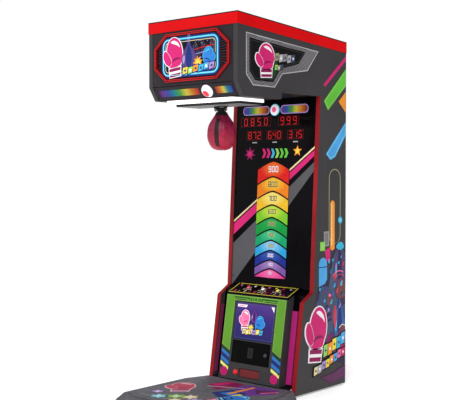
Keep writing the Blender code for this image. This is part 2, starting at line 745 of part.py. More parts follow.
def console_bezel():
    """The green frame: two uprights with slanted feet and a bar over the screen."""
    top, bar, foot, foot_low = (console_level(z) for z in (0.574, 0.543, 0.262, 0.228))
    outer, inner = 0.240, 0.172
    outline = [
        (-outer, top), (-outer, foot), (-inner, foot_low), (-inner, bar), (inner, bar), (inner, foot),
        (outer, foot_low), (outer, top),
    ]
    make("console_bezel", new_shape(add_slab, CONSOLE, [outline], GAP, 0.004), "green_paint")


def monitor():
    low, high = console_level(SCREEN_Z[0]), console_level(SCREEN_Z[1])
    face = new_shape(add_slab, CONSOLE, [rectangle(-SCREEN_HALF, SCREEN_HALF, low, high)], -0.020, -0.002)
    chassis = new_shape(
        add_slab, CONSOLE, [rectangle(-SCREEN_HALF + 0.02, SCREEN_HALF - 0.02, low + 0.02, high - 0.02)],
        -0.048, -0.018
    )
    make("monitor", united(face, chassis), "screen_glass")


CONTROL_LENGTH = math.hypot(CONTROL_DEPTH, CONTROL_RISE)
BUTTON_ACROSS = (-0.120, 0.0, 0.120)
BUTTON_UP = 0.066
HOUSING_RADIUS = 0.0147
PLUNGER_RADIUS = 0.0112


def control_panel():
    holes = [circle(across, BUTTON_UP, HOUSING_RADIUS + 0.0004) for across in BUTTON_ACROSS]
    outline = rectangle(-0.250, 0.250, -0.004, CONTROL_LENGTH - 0.002)
    panel = new_shape(add_slab, CONTROL, [outline, *holes], -0.010, 0.0)
    make("control_panel", panel, "black_board")


def buttons():
    """Three sprung buttons in the collars of one switch block, which is fixed under the panel."""
    bore = PLUNGER_RADIUS + 0.0005
    ring = [(bore, -0.030), (HOUSING_RADIUS, -0.030), (HOUSING_RADIUS, 0.0035), (bore, 0.0035)]
    block = new_shape(
        add_slab, CONTROL, [rectangle(-0.145, 0.145, BUTTON_UP - 0.018, BUTTON_UP + 0.018)], -0.032, -0.029
    )
    collars = []
    plunger = [
        (0.0, -0.012), (PLUNGER_RADIUS, -0.012), (PLUNGER_RADIUS, 0.0075), (0.0080, 0.0095), (0.0, 0.0100)
    ]
    for number, across in enumerate(BUTTON_ACROSS, start=1):
        centre = CONTROL.point(across, BUTTON_UP)
        collars.append(new_shape(add_turned, ring, centre, CONTROL.out, ring=True))
        cap = new_shape(add_turned, plunger, centre, CONTROL.out)
        make(f"button_{number}", cap, "button_plastic", centre, smooth=True)
    make("button_switch_block", united(block, *collars), "black_plastic", smooth=True)


def speakers():
    """Small speakers with moulded grilles, pushed through the front plate from behind."""
    rim = SPEAKER_HOLE - 0.0005
    back = -CONSOLE_SHEET - GAP
    neck_ring = [(0.026, back - 0.002), (rim, back - 0.002), (rim, -0.003), (0.026, -0.003)]
    basket = [
        (0.0, back - 0.026), (0.016, back - 0.026), (0.016, back - 0.015), (0.0335, back - 0.004), (0.0335, back),
        (0.0265, back), (0.012, back - 0.010), (0.0, back - 0.011),
    ]
    level = console_level(SPEAKER[1])
    for name, across in (("speaker_left", -SPEAKER[0]), ("speaker_right", SPEAKER[0])):
        centre = CONSOLE.point(across, level)
        holes = [circle(across, level, 0.004, 8)]
        for i in range(8):
            turn = 2.0 * math.pi * i / 8
            holes.append(circle(across + 0.016 * math.cos(turn), level + 0.016 * math.sin(turn), 0.004, 8))
        grille = new_shape(add_slab, CONSOLE, [circle(across, level, rim), *holes], -0.004, 0.002)
        neck = new_shape(add_turned, neck_ring, centre, CONSOLE.out, ring=True)
        driver = new_shape(add_turned, basket, centre, CONSOLE.out)
        make(name, united(grille, neck, driver), "magenta_plastic", smooth=True)


# ---------------------------------------------------------------- coin door and coin return
def cam_lock(plane, across, up, reach):
    """A lock barrel through a door, with its key head outside and its cam pointing up inside."""
    barrel = new_shape(
        add_turned,
        [(LOCK_RADIUS, -reach), (LOCK_RADIUS, 0.0036), (0.0135, 0.0036), (0.0120, 0.0070)],
        plane.point(across, up), plane.out
    )
    cam = rectangle(across - 0.008, across + 0.008, up - 0.009, up + 0.036)
    return united(barrel, new_shape(add_slab, plane, [cam], -reach, -reach + 0.003))


def coin_door():
    low, high = console_level(COIN_DOOR_Z[0]), console_level(COIN_DOOR_Z[1])
    face = 0.003
    outline = rectangle(COIN_HINGE_X, COIN_DOOR_HALF, low, high)
    slot = rectangle(-0.022, 0.022, low + 0.035, high - 0.035)
    lock_hole = circle(COIN_LOCK[0], console_level(COIN_LOCK[1]), LOCK_RADIUS + 0.0005)
    plate = new_shape(add_slab, CONSOLE, [outline, slot, lock_hole], face - 0.004, face)
    barrel = new_shape(
        add_turned, [(0.004, low), (0.004, high)], CONSOLE.point(COIN_HINGE_X, 0.0, 0.001), CONSOLE.up, sides=12
    )
    pivot = CONSOLE.point(COIN_HINGE_X, (low + high) / 2.0, 0.001)
    make("coin_door", united(plate, barrel), "black_steel", pivot)

    slot_middle = (low + high) / 2.0
    body = new_shape(add_slab, CONSOLE, [rectangle(-0.045, 0.045, low + 0.010, high - 0.006)], -0.052, -0.0015)
    mouth = new_shape(add_slab, CONSOLE, [rectangle(-0.0215, 0.0215, low + 0.0355, high - 0.0355)], -0.004, 0.006)
    entry = new_shape(
        add_slab, CONSOLE, [rectangle(-0.002, 0.002, slot_middle - 0.015, slot_middle + 0.015)], -0.020, 0.010
    )
    acceptor = combined(united(body, mouth), [entry], "DIFFERENCE")
    make("coin_acceptor", acceptor, "black_plastic", pivot)

    lock_up = console_level(COIN_LOCK[1])
    lock_pivot = CONSOLE.point(COIN_LOCK[0], lock_up)
    make("coin_door_lock", cam_lock(CONSOLE, COIN_LOCK[0], lock_up, 0.0170), "bright_steel", lock_pivot)


def coin_return():
    reject_centre = CONSOLE.point(REJECT[0], console_level(REJECT[1]))
    profile = [
        (0.0, -0.014), (REJECT_RADIUS, -0.014), (REJECT_RADIUS, 0.006), (REJECT_RADIUS - 0.003, 0.008), (0.0, 0.009)
    ]
    cap = new_shape(add_turned, profile, reject_centre, CONSOLE.out)
    make("coin_reject_button", cap, "red_paint", reject_centre, smooth=True)

    wall = 0.002
    low, high = console_level(RETURN_Z[0]) + GAP, console_level(RETURN_Z[1]) - GAP
    left, right = RETURN_X[0] + GAP, RETURN_X[1] - GAP
    block = new_shape(add_slab, CONSOLE, [rectangle(left, right, low, high)], -0.060, -0.001)
    hollow = new_shape(
        add_slab, CONSOLE, [rectangle(left + wall, right - wall, low + wall, high - wall)], -0.058, 0.010
    )
    make("coin_return_cup", combined(block, [hollow], "DIFFERENCE"), "black_steel")

    clear = 0.001
    flap_top = high - wall - 0.0035
    flap = new_shape(
        add_slab, CONSOLE, [rectangle(left + wall + clear, right - wall - clear, low + wall + clear, flap_top)],
        -0.0055, -0.0030
    )
    pivot = CONSOLE.point(0.0, flap_top, -0.00425)
    roll = new_shape(
        add_turned, [(0.0020, left + wall + clear), (0.0020, right - wall - clear)], pivot, (1, 0, 0), sides=12
    )
    make("coin_return_flap", united(flap, roll), "red_paint", pivot)


# ---------------------------------------------------------------- rear and inside
def rear_panel():
    outline = rectangle(-INNER + GAP, INNER - GAP, CABINET_FLOOR + BOARD + GAP, 2.165)
    opening = rectangle(-DOOR_HALF, DOOR_HALF + 0.008, DOOR_LOW, DOOR_HIGH)
    socket = rectangle(-0.2845, -0.2355, 0.1155, 0.1445)
    vents = []
    for i in range(5):
        middle = 1.86 + 0.035 * i
        vents.append(rectangle(-0.150, 0.150, middle - 0.006, middle + 0.006))
    panel = new_shape(add_slab, REAR, [outline, opening, socket, *vents], -BOARD, 0.0)
    make("rear_panel", panel, "black_board")


def service_door():
    clear = 0.002
    hinge_across = DOOR_HALF - clear
    low, high = DOOR_LOW + clear, DOOR_HIGH - clear
    lock_at = (-DOOR_HALF + 0.035, (low + high) / 2.0)
    outline = rectangle(-DOOR_HALF + clear, hinge_across, low, high)
    lock_hole = circle(lock_at[0], lock_at[1], LOCK_RADIUS + 0.0005)
    plate = new_shape(add_slab, REAR, [outline, lock_hole], -BOARD, 0.0)
    barrel = new_shape(
        add_turned, [(0.005, low), (0.005, high)], REAR.point(hinge_across, 0.0, 0.0), (0, 0, 1), sides=12
    )
    pivot = REAR.point(hinge_across, (low + high) / 2.0, 0.0)
    make("service_door", united(plate, barrel), "black_board", pivot)
    lock_pivot = REAR.point(lock_at[0], lock_at[1])
    make("service_door_lock", cam_lock(REAR, lock_at[0], lock_at[1], 0.0170), "bright_steel", lock_pivot)


def cabinet_floor():
    front = lower_front(CABINET_FLOOR + BOARD) + RECESS_SET_BACK + FIT
    floor = new_shape(
        add_block, (-INNER + GAP, front, CABINET_FLOOR), (INNER - GAP, REAR_FACE, CABINET_FLOOR + BOARD)
    )
    make("cabinet_floor", floor, "black_board")


WHEEL_RADIUS = 0.021
WHEEL_X = 0.200
WHEEL_YZ = (0.600, 0.0235)
FOOT_X = 0.285
FRAME_BAR = 0.015


def base_frame():
    """A welded frame under the floor, with four feet and the forks and axles of the two wheels."""
    top = CABINET_FLOOR - GAP
    low = top - FRAME_BAR
    pieces = []
    for x in (-FOOT_X, FOOT_X):
        pieces.append(new_shape(add_block, (x - 0.015, 0.215, low), (x + 0.015, 0.640, top)))
    cross = 0.0005
    for y in (0.235, 0.560):
        pieces.append(new_shape(
            add_block, (-FOOT_X - 0.014, y, low + cross), (FOOT_X + 0.014, y + FRAME_BAR, top - cross)
        ))
    foot = [(0.021, 0.0), (0.021, 0.006), (0.011, 0.012), (0.011, low + 0.002)]
    for x in (-FOOT_X, FOOT_X):
        for y in (0.245, 0.615):
            pieces.append(new_shape(add_turned, foot, (x, y, 0.0), (0, 0, 1), sides=16))
    y, z = WHEEL_YZ
    ear = [
        (y - 0.038, top - 0.001), (y + 0.006, top - 0.001), (y + 0.009, z), (y + 0.006, z - 0.007),
        (y, z - 0.009), (y - 0.006, z - 0.007), (y - 0.009, z), (y - 0.038, low + 0.001),
    ]
    for middle in (-WHEEL_X, WHEEL_X):
        for side in (-1, 1):
            pieces.append(new_shape(add_profile, ear, middle + side * 0.0165, middle + side * 0.0195))
        pieces.append(new_shape(
            add_turned, [(0.004, -0.022), (0.004, 0.022)], (middle, y, z), (1, 0, 0), sides=12
        ))
    make("base_frame", united(*pieces), "black_steel")


def transport_wheels():
    """Two wheels at the rear that take the weight when the cabinet is tilted back."""
    y, z = WHEEL_YZ
    bore = 0.0046
    tread = [
        (bore, -0.014), (0.017, -0.014), (WHEEL_RADIUS, -0.010), (WHEEL_RADIUS, 0.010), (0.017, 0.014), (bore, 0.014)
    ]
    for name, x in (("transport_wheel_left", -WHEEL_X), ("transport_wheel_right", WHEEL_X)):
        wheel = new_shape(add_turned, tread, (x, y, z), (1, 0, 0), ring=True)
        make(name, wheel, "rubber", (x, y, z), smooth=True)


def electrics():
    socket_middle = (-0.260, 0.130)
    across, up = socket_middle
    body = new_shape(
        add_slab, REAR, [rectangle(across - 0.0242, across + 0.0242, up - 0.0142, up + 0.0142)], -0.030, -0.001
    )
    flange = new_shape(
        add_slab, REAR, [rectangle(across - 0.028, across + 0.028, up - 0.018, up + 0.018)], GAP, 0.003
    )
    neck = new_shape(
        add_slab, REAR, [rectangle(across - 0.0240, across + 0.0240, up - 0.0140, up + 0.0140)], -0.004, 0.002
    )
    mouth = new_shape(
        add_slab, REAR, [rectangle(across - 0.0125, across + 0.0125, up - 0.0085, up + 0.0085)], -0.020, 0.010
    )
    inlet = combined(united(body, neck, flange), [mouth], "DIFFERENCE")
    make("power_inlet", inlet, "black_plastic")

    deck = CABINET_FLOOR + BOARD + GAP
    supply = new_shape(add_block, (0.100, 0.380, deck), (0.290, 0.490, deck + 0.045))
    make("power_supply", supply, "grey_steel")

    board = new_shape(add_block, (-INNER + 0.014, 0.430, 0.720), (-INNER + 0.0156, 0.600, 0.960))
    posts = []
    for y in (0.445, 0.585):
        for z in (0.735, 0.945):
            posts.append(new_shape(
                add_turned, [(0.004, GAP), (0.004, 0.0148)], (-INNER, y, z), (1, 0, 0), sides=12
            ))
    make("main_board", united(board, *posts), "circuit_board")

    wall = 0.002
    low, high = (-0.110, 0.330, deck), (0.060, 0.540, deck + 0.130)
    block = new_shape(add_block, low, high)
    hollow = new_shape(
        add_block, (low[0] + wall, low[1] + wall, low[2] + wall), (high[0] - wall, high[1] - wall, high[2] + 0.01)
    )
    make("cash_box", combined(block, [hollow], "DIFFERENCE"), "grey_steel")


# ---------------------------------------------------------------- floor platform
PLATFORM_SIDE = 0.400
PLATFORM_FRONT = -0.617
PLATFORM_SHOULDER = (0.290, -0.552)    # where the front corners are cut
PLATFORM_TAPER_Y = -0.028              # the sides start to close in on the cabinet here
PLATFORM_REAR = (0.345, 0.130)
RAMP = 0.045                           # how far the sloped sides reach outwards


def platform_outline(grow, rear=0.0):
    """The platform's plan, from the left rear corner round the front; grow moves its sides out."""
    side = PLATFORM_SIDE + grow
    cut_x = PLATFORM_SHOULDER[0] + grow * 0.3
    half = [
        (PLATFORM_REAR[0] + max(grow, -0.02) * 0.6, PLATFORM_REAR[1] - rear), (side, PLATFORM_TAPER_Y + grow * 0.2),
        (side, PLATFORM_SHOULDER[1] - grow * 0.7), (cut_x, PLATFORM_FRONT - grow),
    ]
    return [(-x, y) for x, y in half] + [(x, y) for x, y in reversed(half)]


def platform():
    sheet = 0.003
    outer_low = platform_outline(RAMP)
    outer_high = platform_outline(0.0)
    inner_low = platform_outline(RAMP - 2.0 * sheet, 2.0 * sheet)
    inner_high = platform_outline(-2.0 * sheet, 2.0 * sheet)
    shape = bmesh.new()
    levels = (
        (outer_high, PLATFORM_TOP), (outer_low, 0.0), (inner_low, 0.0), (inner_high, PLATFORM_TOP - sheet)
    )
    hoops = [[shape.verts.new((x, y, z)) for x, y in outline] for outline, z in levels]
    for lower, upper in zip(hoops, hoops[1:]):
        for i, corner in enumerate(lower):
            j = (i + 1) % len(lower)
            shape.faces.new((corner, lower[j], upper[j], upper[i]))
    shape.faces.new(hoops[0])
    shape.faces.new(hoops[-1])
    make("floor_platform", shape, "platform_steel")

    mat_low = PLATFORM_TOP + GAP
    mat = bmesh.new()
    outline = platform_outline(-0.022, 0.020)
    add_prism(mat, [outline], lambda x, y: (x, y, mat_low), lambda x, y: (x, y, mat_low + MAT))
    make("platform_mat", mat, "mat")


side_panels()
edge_trims()
roof_panel()
crown_band()
head_front()
chin()
head_underside()
rebound_unit()
bag_bracket()
bag_pin()
swing_sensor()
swing_collar()
punching_bag()
chevron_lenses()
score_windows()
display()
lower_front_panel()
light_strips()
console_shell()
console_bezel()
monitor()
control_panel()
buttons()
speakers()
coin_door()
coin_return()
rear_panel()
service_door()
cabinet_floor()
base_frame()
transport_wheels()
electrics()
platform()
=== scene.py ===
"""Looks of the boxing punch machine: finishes, printed artwork, lights, hardware and the leather bag.

Metres, +Z up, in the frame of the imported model: the player stands on the platform at -Y and +X is
their right-hand side. Artwork is laid in thin layers on the machine's flat faces.
"""

import math
import random

import bmesh
import bpy
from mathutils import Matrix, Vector


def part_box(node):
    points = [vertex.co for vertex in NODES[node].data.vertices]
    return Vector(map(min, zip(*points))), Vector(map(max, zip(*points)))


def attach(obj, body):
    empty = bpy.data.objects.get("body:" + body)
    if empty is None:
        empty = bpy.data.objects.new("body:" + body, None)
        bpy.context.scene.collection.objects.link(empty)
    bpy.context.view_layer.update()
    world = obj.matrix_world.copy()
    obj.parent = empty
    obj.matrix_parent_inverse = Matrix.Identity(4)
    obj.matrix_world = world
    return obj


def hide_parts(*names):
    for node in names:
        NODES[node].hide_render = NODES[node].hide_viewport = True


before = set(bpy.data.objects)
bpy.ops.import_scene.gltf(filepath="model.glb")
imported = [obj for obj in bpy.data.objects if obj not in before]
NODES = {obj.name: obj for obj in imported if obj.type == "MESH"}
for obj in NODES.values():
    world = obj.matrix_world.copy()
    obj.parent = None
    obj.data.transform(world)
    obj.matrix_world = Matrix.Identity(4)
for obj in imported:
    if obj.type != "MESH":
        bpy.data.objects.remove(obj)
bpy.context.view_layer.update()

# ---------------------------------------------------------------- camera
CAMERA_PLACE = (3.862, -4.413, 1.354)
CAMERA_TURN = 41.319        # degrees, from looking along +Y towards -X
CAMERA_DIP = 1.625          # degrees below the horizon
CAMERA_LENS = 74.26         # millimetres, on a 36 mm wide sensor


def add_camera():
    data = bpy.data.cameras.new("camera")
    data.lens = CAMERA_LENS
    data.sensor_width = 36.0
    camera = bpy.data.objects.new("camera", data)
    camera.location = CAMERA_PLACE
    camera.rotation_euler = (math.radians(90.0 - CAMERA_DIP), 0.0, math.radians(CAMERA_TURN))
    bpy.context.scene.collection.objects.link(camera)
    bpy.context.scene.camera = camera


# ---------------------------------------------------------------- the machine's working faces
class Plane:
    """A flat working face: across runs along it, up runs up it, and out stands off it."""

    def __init__(self, origin, up, across=(1.0, 0.0, 0.0)):
        self.origin = Vector(origin)
        self.up = Vector(up).normalized()
        self.across = Vector(across).normalized()
        self.out = self.across.cross(self.up)

    def point(self, across, up, out=0.0):
        return self.origin + self.across * across + self.up * up + self.out * out

    def at_height(self, z):
        """How far up the plane the height z is."""
        return (z - self.origin.z) / self.up.z


HALF_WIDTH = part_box("side_panel_right")[1].x
HEAD_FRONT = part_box("side_panel_right")[0].y
CHIN_RUN, CHIN_RISE = 0.050, 0.078
CONTROL_RUN, CONTROL_RISE = 0.119, 0.050
HEAD = Plane((0.0, HEAD_FRONT, 0.0), (0.0, 0.0, 1.0))
CHIN = Plane((0.0, HEAD_FRONT + CHIN_RUN, 1.783), (0.0, -CHIN_RUN, CHIN_RISE))
DISPLAY = Plane((0.0, 0.2937, 0.0), (0.0, 0.055, 1.0))
CONSOLE = Plane((0.0, 0.103, 0.0), (0.0, 0.170, 1.0))
CONTROL = Plane((0.0, 0.2031, 0.589), (0.0, CONTROL_RUN, CONTROL_RISE))
RIGHT = Plane((HALF_WIDTH, 0.0, 0.0), (0.0, 0.0, 1.0), across=(0.0, 1.0, 0.0))
LEFT = Plane((-HALF_WIDTH, 0.0, 0.0), (0.0, 0.0, 1.0), across=(0.0, -1.0, 0.0))
REAR = Plane((0.0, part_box("rear_panel")[1].y, 0.0), (0.0, 0.0, 1.0), across=(-1.0, 0.0, 0.0))
DECK = Plane((0.0, 0.0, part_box("platform_mat")[1].z), (0.0, 1.0, 0.0))


# ---------------------------------------------------------------- finishes
MIDDLE = (0.3, 0.7)     # the range that most of a noise texture's values lie in


def linear(rgb):
    """A screen colour, 0 to 255 a channel, as the linear colour that a shader takes."""
    shares = [channel / 255.0 for channel in rgb]
    return (*[s / 12.92 if s <= 0.04045 else ((s + 0.055) / 1.055) ** 2.4 for s in shares], 1.0)


class Finish:
    """A Principled material with short ways to add and wire its nodes."""

    def __init__(self, name, roughness=0.5, metallic=0.0, specular=0.4, coat=0.0):
        self.material = bpy.data.materials.new(name)
        self.material.use_nodes = True
        self.tree = self.material.node_tree
        self.shader = self.tree.nodes["Principled BSDF"]
        self.where = self.node("ShaderNodeTexCoord", "Object")
        for socket, value in (("Roughness", roughness), ("Metallic", metallic), ("Coat Weight", coat),
                              ("Specular IOR Level", specular), ("Coat Roughness", 0.08)):
            self.set(socket, value)

    def node(self, kind, output, inputs=None, **settings):
        """Add a node, feed its inputs and hand back one of its outputs."""
        node = self.tree.nodes.new(kind)
        for key, value in settings.items():
            setattr(node, key, value)
        for socket, value in (inputs or {}).items():
            self.feed(node.inputs[socket], value)
        return node.outputs[output]

    def feed(self, socket, value):
        """Give a socket a constant, or wire another node's output to it."""
        if isinstance(value, bpy.types.NodeSocket):
            self.tree.links.new(value, socket)
        else:
            socket.default_value = value

    def set(self, socket, value):
        self.feed(self.shader.inputs[socket], value)

    def noise(self, scale, detail=4.0, roughness=0.55, stretch=None):
        place = self.where
        if stretch:
            place = self.node("ShaderNodeMapping", "Vector", {"Vector": self.where, "Scale": stretch})
        return self.node("ShaderNodeTexNoise", "Fac", {
            "Vector": place, "Scale": scale, "Detail": detail, "Roughness": roughness})

    def cells(self, scale, feature="F1"):
        return self.node("ShaderNodeTexVoronoi", "Distance", {"Vector": self.where, "Scale": scale},
                         feature=feature)

    def axis(self, letter):
        return self.node("ShaderNodeSeparateXYZ", letter, {"Vector": self.where})

    def facing(self, letter):
        """How far the surface faces along an axis of the object."""
        normal = self.node("ShaderNodeTexCoord", "Normal")
        return self.node("ShaderNodeSeparateXYZ", letter, {"Vector": normal})

    def arithmetic(self, operation, first, second):
        return self.node("ShaderNodeMath", 0, {0: first, 1: second}, operation=operation)

    def scaled(self, colour, factor):
        return self.node("ShaderNodeVectorMath", 0, {0: colour, "Scale": factor}, operation="SCALE")

    def spread(self, value, low, high, new_low, new_high):
        """The value with the range from low to high brought to the new range, and kept in it."""
        return self.node("ShaderNodeMapRange", "Result", {
            "Value": value, "From Min": low, "From Max": high, "To Min": new_low, "To Max": new_high})

    def ramp(self, value, stops):
        node = self.tree.nodes.new("ShaderNodeValToRGB")
        elements = node.color_ramp.elements
        while len(elements) < len(stops):
            elements.new(0.5)
        for element, (place, rgb) in zip(elements, stops):
            element.position = place
            element.color = linear(rgb)
        self.feed(node.inputs["Fac"], value)
        return node.outputs["Color"]

    def mix(self, share, first, second):
        return self.node("ShaderNodeMix", 2, {"Factor": share, 6: first, 7: second}, data_type="RGBA")

    def bump(self, height, depth, strength=1.0, under=None):
        inputs = {"Height": height, "Distance": depth, "Strength": strength}
        if under:
            inputs["Normal"] = under
        return self.node("ShaderNodeBump", "Normal", inputs)

    def grain(self, height, depth):
        self.set("Normal", self.bump(height, depth))

    def shade(self, rgb, amount, scale=5.0):
        """The colour with slow patches a little darker and lighter, and fine specks of dust."""
        patches = self.spread(self.noise(scale), *MIDDLE, 1.0 - amount, 1.0 + amount)
        specks = self.spread(self.noise(scale * 60.0, 2.0), 0.35, 0.65, 1.0 - amount / 3, 1.0 + amount / 3)
        return self.scaled(linear(rgb)[:3], self.arithmetic("MULTIPLY", patches, specks))

    def gloss(self, scale, low, high):
        """Uneven roughness between two values."""
        rough = self.spread(self.noise(scale), *MIDDLE, low, high)
        self.set("Roughness", rough)
        return rough

    def glow(self, colour, strength):
        self.set("Emission Color", colour)
        self.set("Emission Strength", strength)

    def lit(self, colour, dots, dim, strength):
        """Light in a colour that dots break up, over the same colour dimmed."""
        broken = self.scaled(colour, dots)
        self.set("Base Color", self.scaled(broken, dim))
        self.glow(broken, strength)


def paler(rgb, amount):
    return [min(255, channel + amount) for channel in rgb]


def surface(name, rgb, roughness, metallic=0.0, specular=0.4, coat=0.0, grain=500.0, depth=0.00006,
            amount=0.18, rough_spread=0.08, scuffs=0.0, glow=0.0):
    """A painted, moulded or cast surface: mottled colour, uneven gloss, a fine grain and light scuffs."""
    finish = Finish(name, roughness, metallic, specular, coat)
    colour = finish.shade(rgb, amount)
    rough = finish.gloss(9.0, roughness - rough_spread, roughness + rough_spread)
    if scuffs:
        streaks = finish.noise(14.0, 6.0, 0.7, stretch=(1.0, 3.0, 0.35))
        share = finish.spread(streaks, 0.60, 0.72, 0.0, scuffs)
        colour = finish.mix(share, colour, linear(paler(rgb, 55)))
        finish.set("Roughness", finish.arithmetic("ADD", rough, finish.arithmetic("MULTIPLY", share, 0.3)))
    finish.set("Base Color", colour)
    finish.grain(finish.noise(grain, 3.0), depth)
    if glow:
        finish.glow(colour, glow)
    return finish.material


def laminate():
    """Charcoal panel laminate with a pebbled emboss and faint vertical scuffs."""
    finish = Finish("charcoal_laminate", specular=0.16)
    base = finish.shade((60, 58, 60), 0.10, 4.0)
    streaks = finish.noise(10.0, 6.0, 0.7, stretch=(1.0, 2.5, 0.3))
    worn = finish.spread(streaks, 0.62, 0.75, 0.0, 0.25)
    finish.set("Base Color", finish.mix(worn, base, linear((92, 90, 92))))
    finish.gloss(8.0, 0.42, 0.58)
    finish.grain(finish.cells(900.0), 0.00012)
    return finish.material


def acrylic():
    """Black glossy sheet with faint hairline scratches."""
    finish = Finish("black_acrylic", specular=0.05)
    finish.set("Base Color", finish.shade((7, 5, 8), 0.25, 3.0))
    hairs = finish.noise(60.0, 6.0, 0.8, stretch=(1.0, 1.0, 0.06))
    finish.set("Roughness", finish.spread(hairs, 0.35, 0.70, 0.10, 0.32))
    finish.grain(hairs, 0.00002)
    return finish.material


def two_sided_board():
    """A board with a pale grey underside and black painted edges and top."""
    finish = Finish("rebound_board", specular=0.2)
    under = finish.arithmetic("LESS_THAN", finish.facing("Z"), -0.8)
    pale = finish.shade((132, 132, 134), 0.10, 8.0)
    finish.set("Base Color", finish.mix(under, linear((14, 12, 14)), pale))
    finish.gloss(12.0, 0.48, 0.62)
    finish.grain(finish.noise(320.0, 3.0), 0.0002)
    return finish.material


def brushed(name, rgb, roughness=0.3, direction=(1.0, 1.0, 0.04)):
    """Bare metal with fine lines along the axis whose share of the direction is small."""
    finish = Finish(name, metallic=1.0)
    lines = finish.noise(900.0, 3.0, 0.6, stretch=direction)
    finish.set("Base Color", finish.shade(rgb, 0.12, 12.0))
    finish.set("Roughness", finish.spread(lines, *MIDDLE, roughness - 0.08, roughness + 0.12))
    finish.grain(lines, 0.00004)
    return finish.material


def leather(name, rgb, deep):
    """Tanned leather: cell grain, creases, a darker tone in the hollows, and a painted highlight that makes
    the lower part warmer and brighter.
    """
    finish = Finish(name, specular=0.28, coat=0.05)
    grain = finish.cells(420.0, "SMOOTH_F1")
    folds = finish.noise(26.0, 6.0, 0.62)
    base = finish.mix(finish.spread(folds, 0.35, 0.65, 0.0, 1.0), linear(deep), linear(rgb))
    tone = finish.mix(finish.spread(grain, 0.1, 0.6, 0.0, 0.35), base, linear(deep))
    # painted highlight: the leather turns warmer and brighter towards the bottom of the bag
    low = finish.spread(finish.axis("Z"), 1.64, 1.50, 0.0, 0.45)
    painted_highlight_colour = linear([min(255, rgb[0] + 45), rgb[1] + 5, max(0, rgb[2] - 20)])
    finish.set("Base Color", finish.mix(low, tone, painted_highlight_colour))
    finish.set("Roughness", finish.spread(folds, *MIDDLE, 0.34, 0.55))
    finish.set("Normal", finish.bump(folds, 0.0012, 0.5, finish.bump(grain, 0.0005, 0.8)))
    return finish.material


LENS_REACH = (0.10, 0.06)       # how far the pale middle of a lit lens reaches, across and up


def lit_lens(name, rgb, inner, centre):
    """A lit coloured lens, paler over its lamp in the middle, with a fine dot screen."""
    finish = Finish(name, specular=0.1)
    across, up = LENS_REACH
    place = finish.node("ShaderNodeMapping", "Vector", {
        "Vector": finish.where, "Scale": (1.0 / across, 0.0, 1.0 / up),
        "Location": (-centre[0] / across, 0.0, -centre[1] / up)})
    away = finish.node("ShaderNodeVectorMath", "Value", {0: place}, operation="LENGTH")
    colour = finish.mix(finish.spread(away, 0.15, 1.05, 1.0, 0.0), linear(rgb), linear(inner))
    dots = finish.cells(210.0)
    finish.lit(colour, finish.spread(dots, 0.25, 0.62, 1.08, 0.80), 0.55, 0.55)
    finish.grain(dots, 0.0002)
    finish.gloss(30.0, 0.24, 0.38)
    return finish.material


def rainbow(name, stops, glow):
    """Light bars whose colour runs along X: the stops are (x, screen colour)."""
    finish = Finish(name, 0.34, specular=0.08)
    left, right = stops[0][0], stops[-1][0]
    share = finish.spread(finish.axis("X"), left, right, 0.0, 1.0)
    colour = finish.ramp(share, [((x - left) / (right - left), rgb) for x, rgb in stops])
    finish.lit(colour, finish.spread(finish.cells(90.0), 0.1, 0.6, 1.05, 0.85), 0.6, glow)
    finish.grain(finish.cells(300.0), 0.0001)
    return finish.material


def lamp_cap(name, centre, heart, reach, rim=None):
    """A white lamp cap with a tinted heart and, on some, a tinted rim."""
    finish = Finish(name)
    away = finish.node("ShaderNodeVectorMath", "Value", {0: finish.where, 1: centre}, operation="DISTANCE")
    stops = [(0.0, heart), (0.42, heart), (0.60, (244, 236, 238))]
    if rim:
        stops += [(0.86, (244, 240, 244)), (0.98, rim)]
    colour = finish.ramp(finish.spread(away, 0.0, reach, 0.0, 1.0), stops)
    finish.set("Base Color", colour)
    finish.glow(colour, 0.35)
    finish.grain(finish.cells(240.0), 0.0003)
    finish.gloss(40.0, 0.2, 0.36)
    return finish.material


def screen_picture():
    """The lit screen: deep violet to navy, with a soft bright patch and fine pixel rows, and a dark case."""
    finish = Finish("screen_picture", 0.12, specular=0.35)
    share = finish.spread(finish.axis("Z"), 0.31, 0.53, 0.0, 1.0)
    down = finish.ramp(share, [(0.0, (38, 32, 92)), (0.5, (50, 30, 100)), (1.0, (76, 34, 120))])
    cloud = finish.spread(finish.noise(9.0, 5.0), 0.4, 0.7, 0.0, 0.55)
    colour = finish.mix(cloud, down, linear((26, 40, 112)))
    rows = finish.node("ShaderNodeTexWave", "Fac", {"Vector": finish.where, "Scale": 160.0},
                       bands_direction="Z")
    colour = finish.mix(finish.spread(rows, 0.0, 1.0, 0.0, 0.12), colour, linear((8, 6, 20)))
    case = finish.spread(finish.facing("Y"), -0.7, -0.5, 0.0, 1.0)
    colour = finish.mix(case, colour, linear((12, 12, 13)))
    finish.set("Base Color", colour)
    finish.glow(colour, 0.42)
    return finish.material


def tread_plate(name, rgb):
    """Powder-coated steel with a fine grain, rubbed brighter where feet go."""
    finish = Finish(name, metallic=0.35)
    rubbed = finish.spread(finish.noise(4.0, 6.0), 0.45, 0.7, 0.0, 0.35)
    finish.set("Base Color", finish.mix(rubbed, finish.shade(rgb, 0.12, 7.0), linear(paler(rgb, 28))))
    finish.gloss(20.0, 0.42, 0.66)
    finish.grain(finish.noise(650.0, 3.0), 0.0002)
    return finish.material


